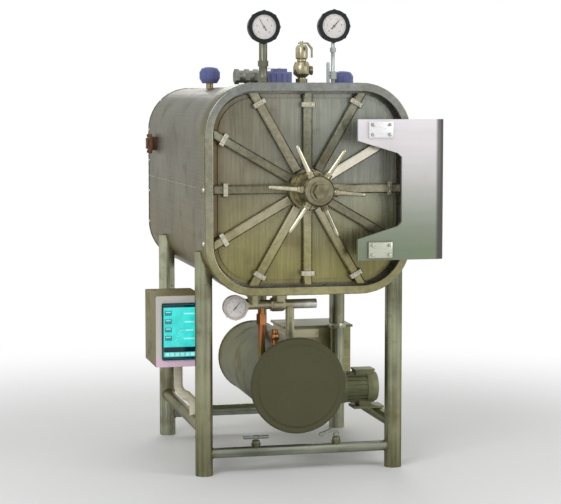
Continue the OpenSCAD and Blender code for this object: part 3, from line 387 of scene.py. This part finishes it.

# The chamber: a lagged jacket of rolled sheet round a plain liner, in two halves with a weld along
# each side, and a back cover held by dome-headed screws round the jacket's end.
# The jacket carries painted shade: darker and olive towards the bottom, and a little darker and greyer along its top.
jacket_steel = steel("jacket_steel", tone(136, 134, 121), (30, 2.5, 300), rough=0.34, metal=0.66, depth=0.38,
                     stain=0.25,
                     fades=(("Z", 0.60, 0.98, tone(122, 111, 74)), ("Z", 1.20, 1.10, tone(124, 123, 116))))
liner_steel = steel("liner_steel", tone(176, 174, 163), (40, 3, 300), rough=0.3, metal=0.8, depth=0.2, stain=0.15)
seam_steel = steel("seam_steel", tone(188, 183, 160), (90, 90, 90), rough=0.3, metal=0.8, depth=0.3, stain=0.3)
dress(jacket_steel, "jacket_upper", "jacket_lower")
dress(jacket_steel, "back_cover", edge=0.002)
dress(liner_steel, "inner_chamber", "chamber_back", "mouth_flange")

CORNER, JACKET, COLLAR, AXIS = 165, 312, 320, 888
COLLAR_BACK, COVER_FRONT, SCREW_BACK = 165, 1148, 1138
SEAM_STEPS, SADDLE_STEPS = 260, 60


def rounded_loop(half, back, steps=14, straight=24):
    """The chamber's rounded-square outline at a distance back from the lip."""
    radius, loop = half - CORNER, []
    for quarter, (sx, sz) in enumerate(((1, 1), (-1, 1), (-1, -1), (1, -1))):
        for k in range(steps + 1):
            turn = math.pi / 2 * (quarter + k / steps)
            up = AXIS + sz * CORNER + radius * math.sin(turn)
            loop.append(spot(sx * CORNER + radius * math.cos(turn), back, up))
        run, last = Vector((-math.sin(turn), 0, math.cos(turn))), loop[-1]
        loop += [last + run * (2 * CORNER / 1000 * k / straight) for k in range(1, straight)]
    return loop


def side_seam(right):
    """The weld along one side of the jacket."""
    pitch = (COVER_FRONT - COLLAR_BACK) / SEAM_STEPS
    return [spot(right, COLLAR_BACK + pitch * k, AXIS) for k in range(SEAM_STEPS + 1)]


bead("side_seams", [side_seam(-JACKET), side_seam(JACKET)], size=0.0024, finish=seam_steel,
     closed=False)
bead("girth_seams", [rounded_loop(JACKET, COLLAR_BACK + 1), rounded_loop(JACKET, COVER_FRONT)], size=0.0026,
     finish=jacket_steel)


def leg_weld(side, back, half):
    """The saddle where a leg is welded to the rounded underside."""
    line = []
    for k in range(SADDLE_STEPS + 1):
        turn = math.tau * k / SADDLE_STEPS
        x = LEG_X + LEG_R * math.cos(turn)
        if x < half - 2:
            drop = CORNER + math.sqrt((half - CORNER) ** 2 - max(x - CORNER, 0) ** 2)
            line.append(spot(side * x, back + LEG_R * math.sin(turn), AXIS - drop))
    return line


saddles = [leg_weld(side, back, half) for side in (-1, 1)
           for back, half in ((FRONT_LEG, COLLAR), (REAR_LEG, JACKET))]
bead("leg_welds", saddles, size=0.0032, finish=weld_steel, closed=False)


def dome_screw(shape, at, direction, radius):
    """A domed screw head with a small flat on top."""
    top = radius * 0.72
    turned(shape, ((0, -0.001), (radius, -0.001), (radius, radius * 0.2), (radius * 0.8, radius * 0.55),
                   (radius * 0.35, top), (0, top)), at, direction, 16)


screw_steel = steel("screw_steel", tone(196, 194, 180), (80, 80, 80), rough=0.25, metal=0.85, depth=0.25, stain=0.2)
screws = bmesh.new()
screw_places = rounded_loop(JACKET, SCREW_BACK, steps=2, straight=3)
further_out = rounded_loop(JACKET + 10, SCREW_BACK, steps=2, straight=3)
for at, away in zip(screw_places, further_out):
    dome_screw(screws, at, away - at, radius=0.005)
add_piece("back_screws", screws, screw_steel)

# The side nozzle: a short cast stub on the chamber's left, painted brown, and closed by a flange with
# six bolts.
brown_paint = steel("brown_paint", tone(128, 92, 74), (20, 20, 20), rough=0.55, metal=0.15, stain=0.6, rust=0.8)
dress(brown_paint, "side_nozzle", edge=0.0015)
NOZZLE_FACE, NOZZLE_BACK, NOZZLE_UP = -JACKET - 24, 1000, 1006
NOZZLE_CIRCLE, NOZZLE_BOLTS = 28, 6
nozzle_bolts = bmesh.new()
for k in range(NOZZLE_BOLTS):
    turn = math.tau * (k + 0.5) / NOZZLE_BOLTS
    back, up = NOZZLE_BACK + NOZZLE_CIRCLE * math.cos(turn), NOZZLE_UP + NOZZLE_CIRCLE * math.sin(turn)
    bolt(nozzle_bolts, spot(NOZZLE_FACE, back, up), LEFT, across=0.009, high=0.006)
add_piece("nozzle_bolts", nozzle_bolts, brown_paint)

# The collar and its lip: a rolled and welded frame that the arms lock behind. The lip is a paler
# steel, a painted highlight, and two dome studs sit on the collar's left side. Both carry painted
# shade, olive towards the bottom, and a painted reflection, greyer towards the top.
collar_steel = steel("collar_steel", tone(126, 123, 99), (300, 3, 300), rough=0.3, metal=0.72, depth=0.35,
                     stain=0.3,
                     fades=(("Z", 0.58, 0.8, tone(124, 116, 76)), ("Z", 1.21, 1.12, tone(166, 170, 160))))
lip_steel = steel("lip_steel", tone(158, 155, 135), (60, 60, 60), rough=0.28, metal=0.8, depth=0.4, stain=0.3,
                  fades=(("Z", 0.58, 0.85, tone(162, 157, 114)), ("Z", 1.17, 1.02, tone(152, 155, 149))))
seal_rubber = steel("seal_rubber", tone(205, 200, 186), (12, 12, 12), rough=0.7, metal=0.0, depth=0.15, stain=0.2)
dress(collar_steel, "door_collar", edge=0.002)
dress(lip_steel, "door_lip", edge=0.002)
dress(seal_rubber, "door_seal", edge=0.002)
LIP_BACK, STUD_BACK, LOW_STUD_UP = 12.5, 24, 726
bead("lip_seam", [rounded_loop(COLLAR, LIP_BACK)], size=0.0022, finish=lip_steel)
studs = bmesh.new()
for up in (AXIS, LOW_STUD_UP):
    dome_screw(studs, spot(-COLLAR, STUD_BACK, up), LEFT, radius=0.009)
add_piece("collar_studs", studs, screw_steel)

# The hinge brackets: steel ears welded to the collar's right side, with the fixed pins that the
# yoke turns on.
dull_steel = steel("dull_steel", tone(144, 140, 112), (50, 50, 50), rough=0.4, metal=0.7, stain=0.5, rust=0.3)
dress(dull_steel, "hinge_brackets", edge=0.0015)

# The boiler: a welded steel drum under the chamber with a flat, dark painted front cover on a flange
# that is bolted from behind, hung from the chamber by one post at the back.
shell_steel = steel("shell_steel", tone(136, 138, 90), (25, 200, 25), rough=0.34, metal=0.7, depth=0.5,
                    stain=0.45, rust=0.25, fades=(("Y", -0.34, -0.02, tone(100, 100, 62)),))
cover_paint = steel("cover_paint", tone(86, 86, 64), (160, 160, 160), rough=0.62, metal=0.05, depth=0.14, stain=0.1)
dress(shell_steel, "boiler_shell", edge=0.0015)
dress(dull_steel, "boiler_hanger")
dress(cover_paint, "boiler_cover", edge=0.0015)
BOILER_X, BOILER_Z, SHELL_R = -10, 273, 121
FLANGE_BACK, BOLT_CIRCLE, COVER_BOLTS = 126, 137, 16
SHELL_FRONT, SHELL_BACK, LOOP_STEPS = 126.5, 766, 96
cover_bolts = bmesh.new()
for k in range(COVER_BOLTS):
    turn = math.tau * (k + 0.5) / COVER_BOLTS
    right, up = BOILER_X + BOLT_CIRCLE * math.cos(turn), BOILER_Z + BOLT_CIRCLE * math.sin(turn)
    bolt(cover_bolts, spot(right, FLANGE_BACK, up), BACKWARD, across=0.013, high=0.008)
add_piece("cover_bolts", cover_bolts, dull_steel)


def shell_loop(back):
    """The boiler's outline at a distance back from the lip."""
    turns = [math.tau * k / LOOP_STEPS for k in range(LOOP_STEPS)]
    return [spot(BOILER_X + SHELL_R * math.cos(t), back, BOILER_Z + SHELL_R * math.sin(t)) for t in turns]


bead("boiler_seams", [shell_loop(SHELL_FRONT), shell_loop(SHELL_BACK)], size=0.003, finish=weld_steel)

# The feed pump: a small finned motor with its terminal box, castings under olive paint. It stands on
# a foot plate and is flanged to the boiler.
pump_paint = steel("pump_paint", tone(136, 138, 107), (40, 40, 40), rough=0.48, metal=0.35, stain=0.5, rust=0.3)
dress(pump_paint, "feed_pump", edge=0.0015)

# The steam main and its fittings: threaded steel pipe with a stop valve, a copper pipe with its
# union nut, and a bronze try cock on the boiler.
# The steam main is painted near white at its right, a painted highlight; the copper pipe is painted olive low down,
# painted shade.
pipe_steel = steel("pipe_steel", tone(208, 202, 162), (60, 60, 60), rough=0.36, metal=0.65, depth=0.4,
                   stain=0.5, rust=0.4, fades=(("X", 0.05, -0.01, tone(246, 246, 232)),))
copper = steel("copper", tone(220, 150, 96), (60, 60, 10), rough=0.33, metal=0.85, stain=0.4,
               fades=(("Z", 0.36, 0.44, tone(142, 132, 80)),))
bronze = steel("bronze", tone(190, 132, 84), (60, 60, 60), rough=0.32, metal=0.85, stain=0.4)
dress(pipe_steel, "steam_main", edge=0.001)
dress(copper, "copper_pipe", edge=0.001)
dress(bronze, "try_cock")

# The feed tank: a folded sheet tank with a rimmed lid, on brackets behind the right rear leg. A bare
# plate is screwed to its front.
# The tank and its plate are painted paler, painted light against the chamber's shade, and the lid's top is painted
# darker, painted shade.
tank_steel = steel("tank_steel", tone(190, 187, 136), (12, 12, 120), rough=0.5, metal=0.2, depth=0.35,
                   stain=0.35, rust=0.3, fades=(("Z", 0.356, 0.348, tone(140, 142, 114)),))
plate_steel = steel("plate_steel", tone(240, 232, 200), (12, 12, 90), rough=0.5, metal=0.15, depth=0.2,
                    stain=0.25, rust=0.2)
dress(tank_steel, "feed_tank", edge=0.002)


def tile(shape, right, back, up, wide, high, thick, soft):
    """A thin plate with softened edges that faces the front, by its middle and its back face."""
    size = Matrix.Diagonal((wide / 1000, thick / 1000, high / 1000, 1))
    middle = Matrix.Translation(spot(right, back - thick / 2, up))
    made = bmesh.ops.create_cube(shape, size=1, matrix=middle @ size)
    soften(shape, edges_of(made["verts"]), soft / 1000)


TANK_FRONT, PLATE_X, PLATE_UP, PLATE_THICK = 850, 190, 333, 3
tank_plate = bmesh.new()
tile(tank_plate, PLATE_X, TANK_FRONT, PLATE_UP, wide=112, high=30, thick=PLATE_THICK, soft=1)
for dx in (-49, 49):
    dome_screw(tank_plate, spot(PLATE_X + dx, TANK_FRONT - PLATE_THICK, PLATE_UP), FORWARD, radius=0.004)
add_piece("tank_plate", tank_plate, plate_steel)

# The drain pipe: a stainless tube welded between the front legs. It carries two plug cocks, one with
# a tee handle and one with a bent lever.
cock_steel = steel("cock_steel", tone(118, 116, 92), (60, 60, 60), rough=0.34, metal=0.75, depth=0.45, stain=0.4)
handle_steel = steel("handle_steel", tone(156, 162, 148), (60, 60, 60), rough=0.3, metal=0.8, depth=0.4, stain=0.35)
dress(cross_steel, "drain_pipe")
dress(cock_steel, "drain_cocks", edge=0.0008)
dress(handle_steel, "cock_tee", "cock_lever", edge=0.0008)

# The control box: folded sheet on a bracket at the left front leg, with a pale front panel and
# its lock, an upright touch screen in a dark frame, and a plastic conduit down to the side rail.
box_steel = steel("box_steel", tone(142, 135, 92), (8, 8, 60), rough=0.42, metal=0.55, depth=0.4, stain=0.5, rust=0.9)
panel_paint = steel("panel_paint", tone(216, 213, 206), (10, 10, 10), rough=0.45, metal=0.1, depth=0.12,
                    stain=0.12, fades=(("Z", 0.346, 0.372, tone(232, 202, 222)),))
screen_frame = steel("screen_frame", tone(40, 66, 70), (60, 60, 60), rough=0.25, metal=0.0, depth=0.2, stain=0.05)
conduit_plastic = steel("conduit_plastic", tone(224, 217, 194), (10, 10, 120), rough=0.5, metal=0.0, depth=0.25,
                        stain=0.25)
dress(box_steel, "control_box", edge=0.001)
dress(dull_steel, "control_bracket", edge=0.001)
dress(panel_paint, "control_panel", edge=0.001)
dress(screen_frame, "touch_screen", edge=0.0008)
dress(conduit_plastic, "conduit")
LOCK_X, LOCK_UP, PANEL_FRONT = -301, 441, 200
LOCK_PROFILE = ((0, -0.001), (0.0065, -0.001), (0.0065, 0.002), (0.005, 0.0032), (0.0025, 0.0032),
                (0.0025, 0.0022), (0, 0.0022))
box_lock = bmesh.new()
turned(box_lock, LOCK_PROFILE, spot(LOCK_X, PANEL_FRONT, LOCK_UP), FORWARD, steps=28)
add_piece("box_lock", box_lock, screw_steel)

# The display: a page lit from behind, with dark bars at its head and foot, a column of keys, a column
# of readings, a trend chart and a row of buttons, all plain printed blocks without words.
SCREEN_X, SCREEN_Z, SCREEN_BACK = -366, 441, 196
PAGE, KEY, MARK = (0.5, 0.1), (0.12, 0.04), (0.1, 0.03)
ON_PAGE = PAGE[0]
ON_KEY = ON_PAGE + KEY[0]
TREND = (0, 6, 14, 25, 31, 33, 34, 34, 33, 34)
BLACK = (0, 0, 0, 1)


def glow(name, colour, strength):
    """A lit part of the display, a little uneven like a worn backlight."""
    finish, paint = new_finish(name)
    uneven = paint.between(paint.noise(paint.place(), 40.0, 4.0), 0.3, 0.7)
    dim = tuple(v * 0.78 for v in colour[:3]) + (1,)
    lit = paint.mix(uneven, dim, colour)
    paint.surface({"Base Color": paint.mix(0.8, lit, BLACK), "Roughness": 0.2, "Emission Color": lit,
                   "Emission Strength": strength})
    return finish


def block(shape, right, up, wide, high, lift, kind):
    """A block of a thickness and softness, by its middle from the display's middle and its lift."""
    tile(shape, SCREEN_X + right, SCREEN_BACK - lift, SCREEN_Z + up, wide, high, *kind)


page, keys, light_marks, dark_marks = bmesh.new(), bmesh.new(), bmesh.new(), bmesh.new()
block(page, 0, 0, 101.6, 167.6, 0, PAGE)
block(dark_marks, 0, -56, 101, 16, ON_PAGE, KEY)
block(dark_marks, 0, -81.1, 101.4, 5, ON_PAGE, KEY)
block(dark_marks, 0, 79.6, 101.4, 8, ON_PAGE, KEY)
for k in range(4):
    up = 58 - 26 * k
    block(keys, -36, up, 22, 15, ON_PAGE, KEY)
    block(light_marks, -36, up + 3, 15, 3, ON_KEY, MARK)
    block(light_marks, 30, up - 2, 34 - 5 * (k % 3), 4, ON_PAGE, MARK)
for k in range(6):
    block(light_marks, -40 + 16 * k, -71, 11, 9, ON_PAGE, MARK)
for k, level in enumerate(TREND):
    block(light_marks, -14 + 3.4 * k, -30 + level, 2.6, 2.2, ON_PAGE, MARK)
add_piece("display_page", page, glow("display_cyan", tone(56, 226, 218), 0.95))
add_piece("display_keys", keys, glow("display_teal", tone(24, 150, 160), 0.85))
add_piece("display_marks", light_marks, glow("display_pale", tone(196, 246, 242), 0.85))
add_piece("display_bar", dark_marks, glow("display_navy", tone(10, 28, 50), 0.6))

# The gauges: dark cases with lobed bezels and white enamel dials behind thin lenses, on a tube post,
# a thin siphon with its cock and the steam main's left end.
gauge_black = steel("gauge_black", tone(48, 53, 55), (60, 60, 60), rough=0.38, metal=0.3, depth=0.35, stain=0.12,
                    fades=(("Z", 0.6, 0.7, tone(206, 196, 184)),))
post_steel = steel("post_steel", tone(128, 129, 112), (60, 60, 12), rough=0.34, metal=0.7, depth=0.5, stain=0.45,
                   fades=(("X", 0.1, 0.02, tone(206, 214, 212)),))
dial_enamel = steel("dial_enamel", tone(240, 234, 229), (30, 30, 30), rough=0.3, metal=0.0, depth=0.14, stain=0.08)
dial_ink = steel("dial_ink", tone(44, 42, 46), (60, 60, 60), rough=0.5, metal=0.0, depth=0.2, stain=0.0)
dress(gauge_black, "gauge_cases", edge=0.0012)
dress(post_steel, "gauge_stems", edge=0.0006)
RECESS, RIM_SHARE, DIAL_STEPS = 4.75, 0.8, 64
SWEEP, START, MARKS, LONG_EVERY, FIGURES = 270, 225, 50, 5, 6
MARK_LIFT, FIGURE_LIFT, NEEDLE_LIFT = 0.00105, 0.00108, 0.0018


def figure(shape, text, matrix, size):
    """A printed figure, made a mesh and set in its place."""
    curve = bpy.data.curves.new("figure", "FONT")
    curve.body, curve.size, curve.extrude = text, size, 0.00004
    curve.align_x, curve.align_y = "CENTER", "CENTER"
    known = set(shape.verts)
    shape.from_mesh(mesh_of(curve))
    bmesh.ops.transform(shape, matrix=matrix, verts=since(shape, known))


def turn_by(degrees):
    """A turn on the dial, anticlockwise from its right."""
    return Matrix.Rotation(math.radians(degrees), 4, "Z")


dials, rings, ink, needles, lenses = bmesh.new(), bmesh.new(), bmesh.new(), bmesh.new(), bmesh.new()
# Each gauge's place, the radius of its case, the angle of its needle and the share of its dial that shows.
for right, back, up, case, lean, show in (
    (-88, 232, 1385, 0.053, 122, 0.9),
    (138, 232, 1390, 0.053, 48, 0.9),
    (-201, 132, 518, 0.040, 50, 0.98),
):
    at, rim = spot(right, back + RECESS, up), case * RIM_SHARE
    front, face = facing(at, FORWARD), rim * show
    turned(dials, ((0, -0.0003), (rim * 0.995, -0.0003), (rim * 0.995, 0.0007), (rim * 0.97, 0.001), (0, 0.001)),
           at, FORWARD, DIAL_STEPS)
    turned(rings, ((face, 0.0008), (face, 0.0040), (face + 0.0006, 0.0045), (rim * 0.997, 0.0045),
                   (rim * 0.997, 0.0008), (face, 0.0008)), at, FORWARD, DIAL_STEPS)
    for k in range(MARKS + 1):
        long, wide = (0.07, 0.01) if k % LONG_EVERY else (0.14, 0.02)
        size = Matrix.Diagonal((face * long, face * wide, 0.0001, 1))
        out = Matrix.Translation((face * (0.93 - long / 2), 0, MARK_LIFT))
        bmesh.ops.create_cube(ink, size=1, matrix=front @ turn_by(START - SWEEP * k / MARKS) @ out @ size)
    for k in range(FIGURES):
        angle = math.radians(START - SWEEP * k / (FIGURES - 1))
        out = Matrix.Translation((face * 0.62 * math.cos(angle), face * 0.62 * math.sin(angle), FIGURE_LIFT))
        figure(ink, str(2 * k), front @ out, face * 0.22)
    flat = Matrix.Rotation(math.pi / 2, 4, "Y") @ Matrix.Diagonal((0.25, 1, 1, 1))
    pointer = turn_by(lean) @ Matrix.Translation((face * 0.22, 0, NEEDLE_LIFT)) @ flat
    bmesh.ops.create_cone(needles, cap_ends=True, segments=4, radius1=face * 0.06, radius2=face * 0.014,
                          depth=face * 1.15, matrix=front @ pointer)
    turned(needles, ((0, 0.001), (face * 0.1, 0.001), (face * 0.1, 0.0022), (face * 0.07, 0.0027), (0, 0.0027)),
           at, FORWARD, steps=24)
    turned(lenses, ((0, 0.0043), (face * 0.6, 0.0041), (face * 0.99, 0.0036), (face * 0.99, 0.0031),
                    (face * 0.6, 0.0036), (0, 0.0038)), at, FORWARD, DIAL_STEPS)
add_piece("dial_rings", rings, gauge_black)
add_piece("dial_faces", dials, dial_enamel)
add_piece("dial_figures", ink, dial_ink)
add_piece("dial_needles", needles, dial_ink)
lens_glass, glass = new_finish("lens_glass")
smear = glass.between(glass.noise(glass.place(), 30.0, 4.0), 0.4, 0.7)
glass.surface({"Base Color": (0.9, 0.93, 0.93, 1), "Roughness": 0.06 + smear * 0.12, "Alpha": 0.08 + smear * 0.08})
add_piece("dial_lenses", lenses, lens_glass)

# The valves on top: a motor valve with a blue actuator, a pale brass safety valve with its lever, and
# two vents with blue lobed knobs on brass stubs, all screwed into the chamber.
valve_steel = steel("valve_steel", tone(178, 181, 172), (60, 60, 60), rough=0.34, metal=0.75, depth=0.55, stain=0.5)
blue_paint = steel("blue_paint", tone(130, 134, 184), (30, 30, 30), rough=0.42, metal=0.0, depth=0.25, stain=0.12)
knob_plastic = steel("knob_plastic", tone(112, 119, 170), (30, 30, 30), rough=0.4, metal=0.0, depth=0.25, stain=0.1)
safety_brass = steel("safety_brass", tone(192, 184, 152), (50, 50, 50), rough=0.28, metal=0.85, depth=0.5, stain=0.5)
brass = steel("brass", tone(186, 166, 112), (60, 60, 60), rough=0.3, metal=0.85, stain=0.45)
dress(valve_steel, "control_valve", edge=0.0008)
dress(blue_paint, "valve_actuator", edge=0.0008)
dress(knob_plastic, "vent_knobs", edge=0.0008)
dress(safety_brass, "safety_valve", edge=0.0006)
dress(brass, "vent_stubs")
CAP_X, CAP_BACK, CAP_TOP = (-50, -16), (327, 353), 1258
cap_screws = bmesh.new()
for right in CAP_X:
    for back in CAP_BACK:
        dome_screw(cap_screws, spot(right, back, CAP_TOP), UP, radius=0.003)
add_piece("actuator_screws", cap_screws, screw_steel)

# The door: a stepped plate with twelve locking arms in strap guides, each strap held by two screws.
# The arms are one steel in three copies of painted light: painted shade on five arms, a half-lit copy on six and a
# painted highlight on arm 2. The plate is darker and browner to the left, with painted shade olive towards the bottom
# and a painted shadow in the step along its left edge.
door_steel = steel("door_steel", tone(170, 174, 162), (160, 30, 5), rough=0.28, metal=0.76, depth=0.45, stain=0.35,
                   fades=(("X", -0.26, 0.16, tone(144, 138, 118)), ("Z", 0.62, 1.0, tone(154, 147, 99)),
                          ("X", -0.268, -0.222, tone(122, 110, 84))))
# Painted light on the arms: the shaded copy is paler at the top, the half-lit copy olive low down, and the highlight
# copy near white.
arm_painted_shade = steel("arm_painted_shade", tone(136, 132, 110), (70, 70, 70), rough=0.28, metal=0.88, depth=0.5, stain=0.4,
                 fades=(("Z", 1.12, 0.94, tone(160, 161, 140)),))
arm_painted_half_light = steel("arm_painted_half_light", tone(178, 173, 148), (70, 70, 70), rough=0.25, metal=0.88, depth=0.45, stain=0.35,
                 fades=(("Z", 0.66, 0.86, tone(164, 158, 112)),))
arm_painted_highlight = steel("arm_painted_highlight", tone(252, 246, 226), (70, 70, 70), rough=0.2, metal=0.9, depth=0.25, stain=0.15)
guide_steel = steel("guide_steel", tone(208, 203, 184), (70, 70, 70), rough=0.24, metal=0.88, depth=0.4, stain=0.25)
dress(door_steel, "door_plate", edge=0.002)
dress(arm_painted_shade, "arm_01", "arm_04", "arm_09", "arm_10", "arm_12", edge=0.0008)
dress(arm_painted_half_light, "arm_03", "arm_05", "arm_06", "arm_07", "arm_08", "arm_11", edge=0.0008)
dress(arm_painted_highlight, "arm_02", edge=0.0008)
dress(guide_steel, "arm_guides", edge=0.0008)
TIP_HALF, GUIDE_INSET, GUIDE_FRONT, SCREW_ASIDE = 290, 34, 10.4, 9
guide_screws = bmesh.new()
for hour in range(1, 13):
    angle = math.radians(90 - 30 * hour)
    out, across = Vector((math.cos(angle), math.sin(angle))), Vector((-math.sin(angle), math.cos(angle)))
    tip = TIP_HALF / max(abs(out.x), abs(out.y))
    for aside in (-SCREW_ASIDE, SCREW_ASIDE):
        place = out * (tip - GUIDE_INSET) + across * aside
        dome_screw(guide_screws, spot(place.x, GUIDE_FRONT, AXIS + place.y), FORWARD, radius=0.0036)
add_piece("guide_screws", guide_screws, screw_steel, "door")

# The hub: a bored housing on the plate that holds the arms' rods, and the capstan handwheel in front
# of it, a dull turned boss with lock nuts at its six bright spokes.
SPOKE_BACK, SPOKE_START, SPOKES, SOCKET_END = -95.3, 115, 6, 54
NUT_R, NUT_HIGH, NUT_SOFT = 0.0135, 0.009, 0.0012
hub_steel = steel("hub_steel", tone(188, 180, 146), (70, 70, 70), rough=0.26, metal=0.9, depth=0.6, stain=0.5)
wheel_steel = steel("wheel_steel", tone(216, 210, 182), (70, 70, 70), rough=0.22, metal=0.92, depth=0.6, stain=0.4,
                    fades=(("R", 0.054, 0.066, tone(164, 158, 130)),), centre=spot(0, SPOKE_BACK, AXIS))
dress(hub_steel, "hub_housing", edge=0.001)
dress(wheel_steel, "handwheel", edge=0.0008)
lock_nuts = bmesh.new()
for k in range(SPOKES):
    turn = math.radians(SPOKE_START + 360 / SPOKES * k)
    out = Vector((math.cos(turn), 0, math.sin(turn)))
    at = spot(SOCKET_END * out.x, SPOKE_BACK, AXIS + SOCKET_END * out.z)
    nut = bmesh.ops.create_cone(lock_nuts, cap_ends=True, segments=6, radius1=NUT_R, radius2=NUT_R,
                                depth=NUT_HIGH, matrix=facing(at + out * NUT_HIGH / 2, out))
    soften(lock_nuts, edges_of(nut["verts"]), NUT_SOFT)
add_piece("spoke_nuts", lock_nuts, hub_steel, "handwheel")

# The yoke: one folded plate on two posts that carries the door on the hinge, with a bright bolted pad
# at the end of each arm. Its colour is a painted reflection, pale lavender at the top and green-grey
# lower down, and it is darker at its right end; the pads carry the same painted reflection, darker lower down.
yoke_steel = steel("yoke_steel", tone(228, 223, 226), (3, 3, 60), rough=0.36, metal=0.55, depth=0.07, stain=0.05,
                   fades=(("Z", 0.69, 1.10, tone(128, 139, 118)), ("X", 0.402, 0.390, tone(92, 90, 88))))
pad_steel = steel("pad_steel", tone(244, 244, 244), (20, 20, 200), rough=0.3, metal=0.5, depth=0.1, stain=0.06,
                  fades=(("Z", 0.75, 1.0, tone(198, 201, 184)),))
dress(yoke_steel, "door_yoke", edge=0.0015)
dress(dull_steel, "yoke_posts")
POST_X, POST_UP, PAD_BACK, PAD_THICK = 200, 181, -81.8, 2.4
pads, pad_bolts = bmesh.new(), bmesh.new()
for middle in (AXIS - POST_UP, AXIS + POST_UP):
    tile(pads, POST_X, PAD_BACK, middle, wide=74, high=47, thick=PAD_THICK, soft=0.8)
    for dx in (-27, 27):
        for dz in (-15, 15):
            at = spot(POST_X + dx, PAD_BACK - PAD_THICK, middle + dz)
            bolt(pad_bolts, at, FORWARD, across=0.009, high=0.006)
add_piece("pad_plates", pads, pad_steel, "door")
add_piece("pad_bolts", pad_bolts, screw_steel, "door")
